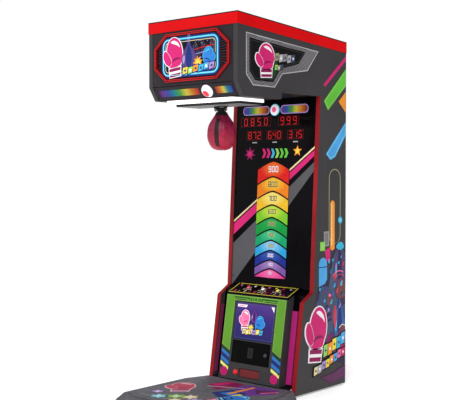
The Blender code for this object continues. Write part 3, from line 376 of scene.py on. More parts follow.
# ---------------------------------------------------------------- inks for the printed artwork
INK_COLOURS = {
    "white": (242, 236, 242), "cream": (226, 212, 160), "magenta": (205, 36, 112),
    "deep_magenta": (140, 20, 84), "pink": (235, 110, 160), "pale_pink": (232, 190, 205),
    "cyan": (60, 178, 214), "pale_cyan": (140, 220, 236), "blue": (46, 120, 200), "navy": (30, 50, 120),
    "purple": (110, 58, 150), "deep_purple": (58, 34, 92), "lilac": (170, 140, 205),
    "green": (96, 190, 62), "pale_green": (150, 205, 96), "dark_green": (26, 66, 34),
    "yellow": (238, 214, 72), "pale_yellow": (236, 232, 128), "orange": (240, 150, 44),
    "red": (214, 24, 30), "dark_red": (92, 14, 28), "grey": (120, 118, 122), "dark_grey": (58, 56, 60),
    "pale_grey": (176, 174, 178), "black": (10, 9, 11), "olive": (150, 148, 110), "slate": (60, 76, 104),
    "plum": (92, 44, 84), "rose": (196, 66, 90), "stripe_grey": (80, 79, 83), "sky": (78, 164, 226),
    "hatch_grey": (140, 138, 142), "haze": (50, 40, 68), "smoke": (66, 84, 108), "umber": (112, 66, 70),
    "steel_blue": (58, 96, 156), "dusk": (84, 66, 120),
}
_inks = {}


def ink(print_colour):
    """Printed vinyl, mottled and satin with a fine print screen, in a key's colour or as (key, glow)."""
    key, glow = (print_colour, 0.0) if isinstance(print_colour, str) else print_colour
    if print_colour not in _inks:
        name = f"ink_{key}" + (f"_lit{round(glow * 100)}" if glow else "")
        _inks[print_colour] = surface(name, INK_COLOURS[key], 0.42, specular=0.12, grain=1500.0,
                                      depth=0.00002, amount=0.10, rough_spread=0.06, glow=glow)
    return _inks[print_colour]


# ---------------------------------------------------------------- outlines
def arc(centre, radius, start, end, steps):
    """Points on a circle from one angle to another, in degrees."""
    turns = [math.radians(start + (end - start) * i / steps) for i in range(steps + 1)]
    return [(centre[0] + radius * math.cos(t), centre[1] + radius * math.sin(t)) for t in turns]


def disc(centre, radius, sides=32):
    return arc(centre, radius, 0.0, 360.0 - 360.0 / sides, sides - 1)


def rounded(left, right, low, high, radius):
    """A rectangle with round corners."""
    corners = ((right - radius, low + radius, -90), (right - radius, high - radius, 0),
               (left + radius, high - radius, 90), (left + radius, low + radius, 180))
    return [point for x, y, start in corners for point in arc((x, y), radius, start, start + 90, 6)]


def box(left, right, low, high):
    return [(left, low), (right, low), (right, high), (left, high)]


def between(points, share):
    """The smooth curve through four points, at a share of the way from the second to the third."""
    before, start, end, after = (Vector(point) for point in points)
    return (start * 2 + (end - before) * share + (before * 2 - start * 5 + end * 4 - after) * share * share
            + (start * 3 - before - end * 3 + after) * share ** 3) / 2


def curved(points, steps=5):
    """A smooth closed curve through the points."""
    count = len(points)
    return [tuple(between([points[(i + k) % count] for k in (-1, 0, 1, 2)], step / steps))
            for i in range(count) for step in range(steps)]


def patch(*points):
    """A smooth outline with four steps from each point to the next."""
    return curved(points, 4)


def grown(points, amount):
    """The outline moved outwards by the amount, or inwards by a negative one."""
    count = len(points)
    area = sum(points[i][0] * points[(i + 1) % count][1] - points[(i + 1) % count][0] * points[i][1]
               for i in range(count))
    side = 1.0 if area > 0 else -1.0
    result = []
    for i in range(count):
        before = (Vector(points[i]) - Vector(points[i - 1])).normalized()
        after = (Vector(points[(i + 1) % count]) - Vector(points[i])).normalized()
        first, second = Vector((before.y, -before.x)), Vector((after.y, -after.x))
        lean = first + second
        scale = min(2.0, 2.0 / max(lean.length_squared, 0.5))
        moved = Vector(points[i]) + lean * scale * amount * side
        result.append((moved.x, moved.y))
    return result


def ribbon(points, width):
    """An open line of even width as an outline."""
    left, right = [], []
    for i, point in enumerate(points):
        before = Vector(points[max(i - 1, 0)])
        after = Vector(points[min(i + 1, len(points) - 1)])
        along = (after - before).normalized()
        side = Vector((-along.y, along.x)) * width / 2.0
        left.append((point[0] + side.x, point[1] + side.y))
        right.append((point[0] - side.x, point[1] - side.y))
    return left + right[::-1]


def star(centre, outer, inner, tips, turn=90.0):
    """A star whose first tip points at the turn's angle, in degrees."""
    points = []
    for i in range(tips * 2):
        radius = inner if i % 2 else outer
        angle = math.radians(turn + 180.0 * i / tips)
        points.append((centre[0] + radius * math.cos(angle), centre[1] + radius * math.sin(angle)))
    return points


def set_at(points, centre, size, turn=0.0, flip=False):
    """A unit outline, 0 to 1 each way, scaled to a size and set about a centre."""
    cos, sin = math.cos(math.radians(turn)), math.sin(math.radians(turn))
    result = []
    for x, y in points:
        across = (0.5 - x if flip else x - 0.5) * size[0]
        up = (y - 0.5) * size[1]
        result.append((centre[0] + across * cos - up * sin, centre[1] + across * sin + up * cos))
    return result


# ---------------------------------------------------------------- pieces
def add_prism(shape, loops, low, high, index=0):
    """Close a prism between two mappings of the same outline; later loops are holes."""
    partner = {}
    rim = []
    made = []
    for loop in loops:
        lows = [shape.verts.new(low(*point)) for point in loop]
        highs = [shape.verts.new(high(*point)) for point in loop]
        partner.update(zip(lows, highs))
        for i, corner in enumerate(lows):
            j = (i + 1) % len(lows)
            made.append(shape.faces.new((corner, lows[j], highs[j], highs[i])))
            rim.append(shape.edges.get((corner, lows[j])))
    filled = bmesh.ops.triangle_fill(shape, edges=rim, use_beauty=True)
    for face in [item for item in filled["geom"] if isinstance(item, bmesh.types.BMFace)]:
        made.append(face)
        made.append(shape.faces.new([partner[corner] for corner in reversed(face.verts)]))
    for face in made:
        face.material_index = index


def piece_from(name, shape, materials, smooth_angle=None, body="cabinet"):
    """Make a piece of a bmesh with its materials and tie it to its body."""
    bmesh.ops.recalc_face_normals(shape, faces=shape.faces)
    mesh = bpy.data.meshes.new(name)
    shape.to_mesh(mesh)
    shape.free()
    for material in materials:
        mesh.materials.append(material)
    if smooth_angle is not None:
        mesh.shade_smooth()
        mesh.set_sharp_from_angle(angle=math.radians(smooth_angle))
    piece = bpy.data.objects.new(name, mesh)
    bpy.context.scene.collection.objects.link(piece)
    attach(piece, body)
    return piece


LAYER = 0.00022         # thickness of one layer of print
PRINT_GAP = 0.00004     # between the face and the print's underside


def cut_right(outline, limit):
    """The part of the outline that lies left of the limit."""
    result = []
    for i, (x, y) in enumerate(outline):
        before_x, before_y = outline[i - 1]
        if (before_x < limit) != (x < limit):
            share = (limit - before_x) / (x - before_x)
            result.append((limit, before_y + (y - before_y) * share))
        if x < limit:
            result.append((x, y))
    return result


class Artwork:
    """Printed shapes stacked in thin layers on one face of the machine, in inks or other materials."""

    def __init__(self, name, plane, lift=0.0, mirror=False, limit=None):
        self.name, self.plane, self.lift, self.limit = name, plane, lift, limit
        self.side = -1.0 if mirror else 1.0
        self.shape = bmesh.new()
        self.materials = []

    def add(self, colour, layer, *loops, thick=None):
        """Print an outline, with holes where more loops follow, up to the layer's height or the given one."""
        if self.limit is not None:
            loops = [cut_right(loop, self.limit) for loop in loops]
            if any(len(loop) < 3 for loop in loops):
                return
        material = colour if isinstance(colour, bpy.types.Material) else ink(colour)
        if material not in self.materials:
            self.materials.append(material)
        low = self.lift + PRINT_GAP
        high = self.lift + (thick or LAYER * (layer + 1))
        add_prism(self.shape, loops, lambda a, b: self.plane.point(a * self.side, b, low),
                  lambda a, b: self.plane.point(a * self.side, b, high), self.materials.index(material))

    def ring(self, colour, layer, outline, width, thick=None):
        """A line of even width just inside the outline."""
        self.add(colour, layer, outline, grown(outline, -width), thick=thick)

    def lay(self, *rows):
        """Rows of (colour, layer, outline), with the line's width at the end where only a rim is printed."""
        for colour, layer, outline, *width in rows:
            if width:
                self.ring(colour, layer, outline, *width)
            else:
                self.add(colour, layer, outline)

    def done(self):
        """Make the piece."""
        piece_from(self.name, self.shape, self.materials)


# ---------------------------------------------------------------- pictures used in the artwork
FIST = [(0.30, 0.26), (0.24, 0.44), (0.22, 0.66), (0.28, 0.84), (0.44, 0.97), (0.64, 1.00), (0.84, 0.92),
        (0.96, 0.74), (0.98, 0.54), (0.90, 0.38), (0.80, 0.26)]
THUMB = [(0.34, 0.30), (0.18, 0.34), (0.06, 0.46), (0.03, 0.60), (0.10, 0.70), (0.22, 0.68), (0.34, 0.56),
         (0.42, 0.42)]
CUFF = [(0.28, 0.00), (0.80, 0.00), (0.84, 0.22), (0.27, 0.22)]
CUFF_BAND = [(0.27, 0.08), (0.81, 0.08), (0.82, 0.14), (0.27, 0.14)]
CUFF_FOLD = [(0.40, 0.36), (0.52, 0.46), (0.74, 0.48), (0.90, 0.42), (0.76, 0.43), (0.54, 0.40)]
KNUCKLE_SHINE = [(0.46, 0.90), (0.62, 0.93), (0.80, 0.85), (0.88, 0.72), (0.78, 0.78), (0.60, 0.84)]


def glove(art, centre, size, main, shadow, outline, layer, turn, border, flip=False):
    """A boxing glove: fist, thumb, cuff with a band, seams and a highlight, all with one border."""
    fist, thumb, shine = (set_at(curved(points), centre, size, turn, flip)
                          for points in (FIST, THUMB, KNUCKLE_SHINE))
    cuff = set_at(CUFF, centre, size, turn, flip)
    for part in (fist, thumb, cuff):
        art.add(outline, layer, grown(part, border))
    art.add(shadow, layer + 1, cuff)
    art.add(main, layer + 2, fist)
    art.add(outline, layer + 3, grown(thumb, border * 0.35))
    art.add(main, layer + 4, thumb)
    art.add(outline, layer + 4, shine)
    art.add(outline, layer + 2, set_at(CUFF_BAND, centre, size, turn, flip))
    art.add(shadow, layer + 3, set_at(curved(CUFF_FOLD), centre, size, turn, flip))


BULB = [(0.44, 1.00), (0.56, 1.00), (0.62, 0.88), (0.84, 0.66), (0.98, 0.42), (0.92, 0.18), (0.72, 0.03),
        (0.50, 0.00), (0.28, 0.03), (0.08, 0.18), (0.02, 0.42), (0.16, 0.66), (0.38, 0.88)]
BULB_GORE = [(0.50, 0.96), (0.66, 0.66), (0.70, 0.34), (0.56, 0.05), (0.44, 0.05), (0.30, 0.34),
             (0.34, 0.66)]
BULB_GLEAM = [(0.18, 0.56), (0.10, 0.40), (0.16, 0.24), (0.24, 0.34), (0.26, 0.50)]


def bulb_bag(art, centre, size, main, shade, shine, layer):
    """A pear-shaped bag with gores and a highlight."""
    bulb, gore, gleam = (set_at(curved(points, 3), centre, size) for points in (BULB, BULB_GORE, BULB_GLEAM))
    art.lay((shade, layer, grown(bulb, 0.004)), (main, layer + 1, bulb), (shade, layer + 2, gore),
            (shine, layer + 2, gleam))


def shards(art, left, right, low, high, inks, count, seed, layer, size, slope=0.0):
    """Slanted slivers of colour scattered over a band; slope lifts the band towards its right."""
    order = random.Random(seed)
    for i in range(count):
        x = left + (right - left) * (i + order.uniform(0.1, 0.9)) / count
        y = order.uniform(low, high) + slope * (x - left)
        long = size * order.uniform(0.7, 1.5)
        wide = long * order.uniform(0.25, 0.55)
        lean = order.uniform(0.2, 0.9) * long
        points = [(x - wide, y - long / 2), (x + wide * 0.6, y - long / 2),
                  (x + wide * 0.6 + lean * 0.5, y + long / 2), (x - wide * 0.5 + lean * 0.5, y + long / 2)]
        art.add(inks[i % len(inks)], layer + i % 3, points)


SEGMENTS = {
    "0": "abcdef", "1": "bc", "2": "abged", "3": "abgcd", "4": "fgbc", "5": "afgcd", "6": "afgedc",
    "7": "abc", "8": "abcdefg", "9": "abcdfg",
}


def digit(art, character, left, low, width, height, lit, unlit):
    """A seven-segment figure whose unlit segments show faintly."""
    bar = width * 0.17
    half = height / 2.0
    gap = bar * 0.20
    point = bar * 0.6

    def across(y):
        right = left + width
        return [(left + gap, y), (left + point, y + bar / 2), (right - point, y + bar / 2), (right - gap, y),
                (right - point, y - bar / 2), (left + point, y - bar / 2)]

    def upright(x, start, end):
        return [(x, start + gap), (x + bar / 2, start + point), (x + bar / 2, end - point), (x, end - gap),
                (x - bar / 2, end - point), (x - bar / 2, start + point)]

    shapes = {
        "a": across(low + height), "g": across(low + half), "d": across(low),
        "f": upright(left, low + half, low + height), "b": upright(left + width, low + half, low + height),
        "e": upright(left, low, low + half), "c": upright(left + width, low, low + half),
    }
    for letter, outline in shapes.items():
        art.add(lit if letter in SEGMENTS[character] else unlit, 1, outline)


def figures(art, text, centre, low, height, pitch, lit, unlit):
    """A row of seven-segment figures about a centre."""
    width = height * 0.55
    left = centre - pitch * (len(text) - 1) / 2.0 - width / 2.0
    for i, character in enumerate(text):
        digit(art, character, left + pitch * i, low, width, height, lit, unlit)


# ---------------------------------------------------------------- finishes of the CAD pieces
SPECTRUM = {
    "purple": (118, 62, 150), "blue": (56, 92, 186), "teal": (40, 150, 150), "green": (86, 172, 70),
    "yellow": (236, 220, 84), "orange": (226, 128, 48), "red": (186, 44, 46), "dark": (30, 20, 34),
    "ember": (120, 44, 34),
}


def spectrum(*stops):
    return [(x, SPECTRUM[key]) for x, key in stops]


def cad_finishes():
    """The material of each CAD piece that shows."""
    # painted light: the crown band's red paint glows faintly though it holds no lamp
    red = surface("crown_red_painted_glow", (204, 6, 12), 0.38, specular=0.06, amount=0.08, grain=900.0, glow=0.10)
    trim = surface("trim_red", (140, 24, 30), 0.40, specular=0.12, grain=1200.0, depth=0.00003, scuffs=0.12)
    frame_red = surface("frame_red", (112, 8, 14), 0.36, specular=0.15, grain=1500.0, glow=0.05)
    steel = surface("black_powder_coat", (26, 26, 28), 0.46, 0.2, specular=0.25, grain=1400.0, depth=0.0001,
                    scuffs=0.2)
    board = surface("black_board", (20, 18, 21), 0.44, specular=0.1, grain=1100.0, depth=0.00005,
                    scuffs=0.15)
    plastic = surface("black_plastic", (22, 22, 24), 0.48, specular=0.3, grain=1300.0, depth=0.00008)
    circuit = surface("solder_mask", (16, 92, 42), 0.5, grain=240.0, depth=0.0002)
    bright = brushed("bright_steel", (196, 196, 198))
    zinc = brushed("zinc_steel", (150, 152, 156), 0.4, (0.05, 1.0, 1.0))
    magenta = surface("magenta_lens", (166, 34, 108), 0.36, specular=0.15, grain=600.0, depth=0.00005,
                      amount=0.10, glow=0.14)
    speaker = surface("speaker_magenta", (186, 30, 106), 0.40, specular=0.15, grain=600.0, depth=0.00005,
                      amount=0.10, glow=0.22)
    head_face = surface("head_board", (44, 40, 44), 0.46, specular=0.1, grain=1000.0, depth=0.00005,
                        scuffs=0.08)
    charcoal = laminate()
    gloss = acrylic()
    return {
        "side_panel_left": charcoal, "side_panel_right": charcoal, "console_shell": charcoal,
        "roof_panel": board, "head_floor_panel": board, "rear_panel": board, "service_door": board,
        "cabinet_floor": board, "head_front_panel": head_face, "chin_panel": head_face,
        "display_panel": gloss, "lower_front_panel": gloss, "control_panel": gloss,
        "edge_trim_left": trim, "edge_trim_right": trim, "crown_band": red, "marquee_frame": frame_red,
        "coin_reject_button": surface("lit_red", (206, 24, 36), 0.3, glow=0.4, grain=300.0),
        "coin_return_flap": surface("return_red", (96, 16, 20), 0.34, glow=0.25, grain=400.0, coat=0.2),
        "marquee_lens": surface("marquee_print", (14, 8, 16), 0.24, specular=0.06, amount=0.3, grain=800.0),
        "marquee_light_board": circuit, "display_led_board": circuit, "main_board": circuit,
        "chin_lamp": lamp_cap("chin_lamp_cap", chin_lamp_heart(), (222, 40, 62), 0.045),
        "under_light_box": surface("white_light_box", (255, 252, 250), 0.4, amount=0.03, glow=1.1),
        "underside_lamps": surface("pink_white_lamp", (244, 196, 214), 0.35, amount=0.06, glow=0.5),
        "chin_light_bars": rainbow("chin_bars", spectrum(
            (-0.302, "dark"), (-0.262, "purple"), (-0.205, "blue"), (-0.160, "teal"), (-0.115, "green"),
            (-0.065, "yellow"), (-0.015, "orange"), (0.036, "red"), (0.166, "red"), (0.198, "orange"),
            (0.226, "yellow"), (0.252, "teal"), (0.280, "blue"), (0.302, "dark")), 0.16),
        "rebound_board": two_sided_board(),
        "head_cross_beam": steel, "bag_bracket": steel, "swing_collar": steel, "base_frame": steel,
        "coin_door": surface("coin_door_black", (6, 6, 7), 0.34, specular=0.06, grain=1600.0, depth=0.00006,
                             scuffs=0.15),
        "coin_return_cup": steel, "bag_hinge_pin": bright,
        "coin_door_lock": brushed("dark_lock", (88, 88, 92), 0.34), "service_door_lock": bright,
        "swing_sensor": plastic, "button_switch_block": plastic, "coin_acceptor": plastic,
        "power_inlet": plastic,
        "chevron_lenses": surface("chevron_edge", (12, 8, 12), 0.3, specular=0.08, grain=700.0),
        "score_windows": surface("smoked_window", (9, 4, 6), 0.16, specular=0.05, grain=900.0,
                                 depth=0.00002),
        "display_lights": display_light_finish(),
        # painted light: the green bezel paint glows faintly though it holds no lamp
        "console_bezel": surface("bezel_green", (96, 152, 48), 0.40, specular=0.12, amount=0.10, grain=900.0,
                                 scuffs=0.10, glow=0.03),
        "monitor": screen_picture(),
        "light_strip_left": magenta, "light_strip_right": magenta,
        "speaker_left": speaker, "speaker_right": speaker,
        "button_1": surface("button_pink", (226, 92, 120), 0.26, coat=0.4, glow=0.3),
        "button_2": surface("button_white", (236, 226, 222), 0.26, coat=0.4, glow=0.3),
        "button_3": surface("button_yellow", (236, 208, 84), 0.26, coat=0.4, glow=0.3),
        "transport_wheel_left": surface("wheel_rubber", (30, 30, 32), 0.8, grain=500.0, depth=0.0003),
        "transport_wheel_right": surface("wheel_rubber_2", (30, 30, 32), 0.8, grain=500.0, depth=0.0003),
        "floor_platform": tread_plate("platform_steel", (98, 96, 102)),
        "platform_mat": tread_plate("platform_deck", (104, 102, 110)),
        "power_supply": zinc, "cash_box": zinc,
    }


def chin_lamp_heart():
    """The point inside the chin lamp's dome that its red heart is about."""
    low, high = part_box("chin_lamp")
    return tuple(CHIN.point((low.x + high.x) / 2.0, math.hypot(CHIN_RUN, CHIN_RISE) / 2.0 - 0.009, 0.026))


def display_light_finish():
    """The colours of both rainbow capsules, by place along X."""
    left = ((-0.265, "purple"), (-0.226, "blue"), (-0.186, "green"), (-0.150, "yellow"), (-0.108, "orange"),
            (-0.062, "ember"))
    right = ((0.046, "purple"), (0.086, "blue"), (0.130, "green"), (0.166, "yellow"), (0.208, "orange"),
             (0.254, "ember"))
    return rainbow("display_bars", spectrum(*left, *right), 0.26)


BEVEL = 0.0009


def soften(node):
    """Clean the node's facets, round its edges slightly and keep its flats flat."""
    node.data.shade_smooth()
    weld = node.modifiers.new("weld", "WELD")
    weld.merge_threshold = 0.00002
    flat = node.modifiers.new("flatten", "DECIMATE")
    flat.decimate_type = "DISSOLVE"
    flat.angle_limit = math.radians(0.6)
    bevel = node.modifiers.new("edges", "BEVEL")
    bevel.width = BEVEL
    bevel.segments = 2
    bevel.limit_method = "ANGLE"
    bevel.angle_limit = math.radians(32)
    bevel.use_clamp_overlap = True
    bevel.miter_outer = "MITER_ARC"
    node.modifiers.new("normals", "WEIGHTED_NORMAL").keep_sharp = True


def finish_cad():
    """Finish every CAD piece but the punching bag, which the leather bag replaces."""
    for name, material in cad_finishes().items():
        materials = NODES[name].data.materials
        materials.clear()
        materials.append(material)
        soften(NODES[name])


# ---------------------------------------------------------------- marquee
def marquee_art():
    """The lit sign: rays and neon lines round gloves, a hanging bag and a ring, over a row of tiles."""
    art = Artwork("marquee_art", HEAD, lift=-0.002)
    frame_line = rounded(-0.234, 0.207, 1.920, 2.137, 0.042)
    marquee_rays(art, grown(frame_line, 0.013), (-0.013, 2.028))
    art.ring(("dark_red", 0.2), 1, octagon(0.284, 1.898, 2.154, 0.091, 0.079), 0.004)
    art.add(("navy", 0.15), 0, grown(frame_line, 0.010))
    art.add("black", 1, grown(frame_line, -0.016))
    art.ring(("cyan", 0.24), 2, grown(frame_line, 0.001), 0.011, thick=0.0016)
    art.ring(("pale_cyan", 0.30), 3, grown(frame_line, -0.003), 0.0035, thick=0.0024)
    art.ring(("cream", 0.12), 2, grown(frame_line, -0.020), 0.0034)
    marquee_ring(art)
    glove(art, (-0.150, 2.028), (0.165, 0.226), ("magenta", 0.12), ("deep_magenta", 0.05), ("white", 0.2),
          layer=8, turn=6.0, border=0.005)
    for i in range(4):
        up = 2.146 - 0.014 * i
        link = curved([(-0.032, up), (-0.022, up + 0.009), (-0.012, up), (-0.022, up - 0.009)], 3)
        art.ring(("lilac", 0.2), 6, link, 0.0032)
    bulb_bag(art, (-0.022, 2.026), (0.126, 0.156), ("dusk", 0.15), ("navy", 0.1), ("lilac", 0.2), 7)
    glove(art, (0.138, 2.006), (0.096, 0.120), ("blue", 0.1), ("navy", 0.1), ("cyan", 0.2),
          layer=10, turn=-8.0, flip=True, border=0.004)
    art.add(("orange", 0.1), 15, star((0.052, 1.985), 0.040, 0.022, 9, 20.0))
    art.add(("yellow", 0.1), 16, star((0.052, 1.985), 0.026, 0.013, 9, 20.0))
    tiles(art, (-0.070, 1.922), 0.250, ("yellow", "pale_green", "orange", "cyan", "sky", "lilac"), 0.042,
          17, 0.10, 0.1, "navy")
    art.done()

    edges = Artwork("marquee_frame_lines", HEAD, lift=0.010)
    for inset in (0.0012, 0.0115):
        cut = inset * 0.55
        outline = octagon(0.298 - inset, 1.884 + inset, 2.168 - inset, 0.095 - cut, 0.082 - cut)
        edges.ring(("red", 0.15), 0, outline, 0.0028)
    edges.done()


def marquee_rays(art, inner, centre):
    """Fine rays from the neon line out to the octagon."""
    rays = 110
    outer = octagon(0.278, 1.904, 2.148, 0.088, 0.076)
    for i in range(rays):
        angle = 2.0 * math.pi * (i + 0.5) / rays
        along = Vector((math.cos(angle), math.sin(angle)))
        start = cast(inner, centre, along)
        end = cast(outer, centre, along) - 0.004
        if end - start < 0.004:
            continue
        side = Vector((-along.y, along.x)) * 0.0013
        near, far = Vector(centre) + along * start, Vector(centre) + along * end
        ray = [tuple(corner) for corner in (near - side, far - side * 1.5, far + side * 1.5, near + side)]
        art.add(("dark_grey", "dark_red")[i % 2], 0, ray)


def marquee_ring(art):
    """A boxing ring behind the gloves: posts, three ropes, spotlights and small lamps in the dark."""
    for top, foot, lean in ((0.020, 0.050, 0.0), (0.080, 0.075, 0.018), (0.150, 0.120, 0.030)):
        art.add(("haze", 0.1), 2, [(top, 2.112), (top + 0.012, 2.112), (foot + 0.050 + lean, 1.985),
                                   (foot - 0.006, 1.985)])
    for up, key in ((2.070, "red"), (2.042, "lilac"), (2.014, "blue")):
        art.add((key, 0.1), 3, ribbon([(0.010, up - 0.010), (0.080, up), (0.180, up + 0.010)], 0.0042))
    for x in (0.016, 0.176):
        art.add(("slate", 0.1), 4, box(x - 0.004, x + 0.004, 1.990, 2.090))
    spots = random.Random(5)
    for i in range(26):
        spot = (spots.uniform(0.030, 0.180), spots.uniform(2.078, 2.112))
        art.add((("lilac", "cyan", "rose")[i % 3], 0.2), 4, disc(spot, spots.uniform(0.0014, 0.0028), 8))


def cast(outline, centre, along):
    """Distance from the centre to the outline along a direction."""
    best = 9.0
    for i, point in enumerate(outline):
        start = Vector(point) - Vector(centre)
        edge = Vector(outline[(i + 1) % len(outline)]) - Vector(point)
        across = along.x * edge.y - along.y * edge.x
        if abs(across) < 1e-9:
            continue
        reach = (start.x * edge.y - start.y * edge.x) / across
        share = (start.x * along.y - start.y * along.x) / across
        if reach > 0 and -1e-6 <= share <= 1 + 1e-6:
            best = min(best, reach)
    return best


def octagon(half_width, low, high, cut_across, cut_up):
    return [
        (-half_width + cut_across, low), (half_width - cut_across, low),
        (half_width, low + cut_up), (half_width, high - cut_up),
        (half_width - cut_across, high), (-half_width + cut_across, high),
        (-half_width, high - cut_up), (-half_width, low + cut_up),
    ]


# ---------------------------------------------------------------- side artwork
SIDE_ART_REAR = 0.657      # where the print stops before the rear edge


def side_art(name, plane, mirror):
    """A side panel's whole print: the badge, the bars and the picture."""
    art = Artwork(name, plane, mirror=mirror, limit=SIDE_ART_REAR)
    head_badge(art)
    upper_bars(art)
    lower_picture(art)
    art.done()


def head_badge(art):
    """A badge by the sign's side: a hatched frame round a glove and two rows of tiles."""
    outer = [(-0.315, 2.140), (-0.315, 1.905), (-0.254, 1.846), (-0.058, 1.846), (0.012, 1.928),
             (0.255, 1.966), (0.365, 2.093)]
    inner = [(-0.286, 2.112), (-0.286, 1.926), (-0.236, 1.876), (-0.074, 1.876), (-0.008, 1.958),
             (0.165, 2.000), (0.232, 2.076)]
    art.add("dark_grey", 0, outer)
    art.ring("pale_grey", 2, outer, 0.0065)
    lines, low, high = 44, 1.835, 2.165
    hatched = grown(outer, -0.008)
    for i in range(lines):
        clipped_line(art, "hatch_grey", 1, hatched, low + (high - low) * i / (lines - 1), 0.0036, -0.10)
    art.add("black", 3, inner)
    art.ring("dark_grey", 4, grown(inner, -0.010), 0.003)
    art.add("dark_green", 5, patch((-0.070, 2.060), (-0.036, 2.000), (-0.052, 1.920), (-0.100, 1.892),
                                   (-0.120, 1.940)))
    glove(art, (-0.150, 1.996), (0.176, 0.190), "magenta", "deep_magenta", "white", layer=7,
          turn=4.0, border=0.0055)
    tiles(art, (-0.060, 1.996), 0.190, ("olive", "pale_grey", "hatch_grey", "pale_grey", "slate"), 0.050,
          8, 0.02)
    tiles(art, (-0.062, 1.944), 0.080, ("pale_green", "olive", "slate"), 0.034, 8, 0.10)


def clipped_line(art, colour, layer, outline, up, width, lean):
    """A slanted hatch line across the outline, at the height up where x is 0."""
    cuts = []
    for i, point in enumerate(outline):
        end = outline[(i + 1) % len(outline)]
        first = point[1] - lean * point[0] - up
        second = end[1] - lean * end[0] - up
        if first * second < 0:
            share = first / (first - second)
            cuts.append(point[0] + (end[0] - point[0]) * share)
    if len(cuts) == 2 and abs(cuts[0] - cuts[1]) > 0.02:
        left, right = sorted(cuts)
        low, high = up - width / 2, up + width / 2
        art.add(colour, layer, [(left, low + lean * left), (right, low + lean * right),
                                (right, high + lean * right), (left, high + lean * left)])


def upper_bars(art):
    """Bright bars, frames and discs over the rear half of the side."""
    rear = SIDE_ART_REAR
    grey_tile, green_tile = box(0.428, 0.480, 0.898, 0.988), box(0.386, 0.438, 0.870, 0.927)
    art.lay(
        ("magenta", 1, [(0.418, 1.896), (0.434, 1.882), (rear, 2.062), (rear, 2.092)]),
        ("green", 1, [(0.424, 1.796), (0.466, 1.740), (rear, 1.902), (rear, 2.010)]),
        ("pale_green", 2, [(0.430, 1.796), (0.467, 1.748), (rear, 1.909), (rear, 2.000)], 0.004),
        ("orange", 1, [(0.580, 1.800), (rear, 1.735), (rear, 1.866)]),
        ("sky", 1, [(0.446, 1.470), (0.492, 1.432), (0.545, 1.452), (rear, 1.590), (rear, 1.676)]),
        ("pale_cyan", 2, [(0.456, 1.470), (0.494, 1.440), (0.540, 1.458), (rear, 1.600), (rear, 1.664)],
         0.004),
        ("olive", 1, rounded(0.478, 0.604, 0.905, 1.378, 0.060), 0.007),
        ("dark_grey", 1, rounded(0.492, 0.590, 0.905, 1.362, 0.048), 0.003),
        ("orange", 2, rounded(0.494, 0.540, 0.868, 1.180, 0.022)),
        ("cream", 3, rounded(0.504, 0.514, 0.900, 1.165, 0.004)),
        ("cyan", 3, disc((0.601, 1.055), 0.022)), ("pale_cyan", 4, disc((0.601, 1.055), 0.010)),
        ("grey", 1, grey_tile), ("pale_grey", 2, grey_tile, 0.004),
        ("pale_green", 3, green_tile), ("green", 4, green_tile, 0.004),
        ("magenta", 2, [(0.438, 0.872), (0.452, 0.806), (0.492, 0.800), (0.492, 0.888)]),
        ("sky", 2, [*arc((0.418, 0.786), 0.042, 180, 0, 8), (0.460, 0.690), (0.436, 0.664), (0.376, 0.650)]),
        ("navy", 3, box(0.376, 0.460, 0.766, 0.772)),
        ("pale_cyan", 3, rounded(0.386, 0.394, 0.672, 0.756, 0.004)))


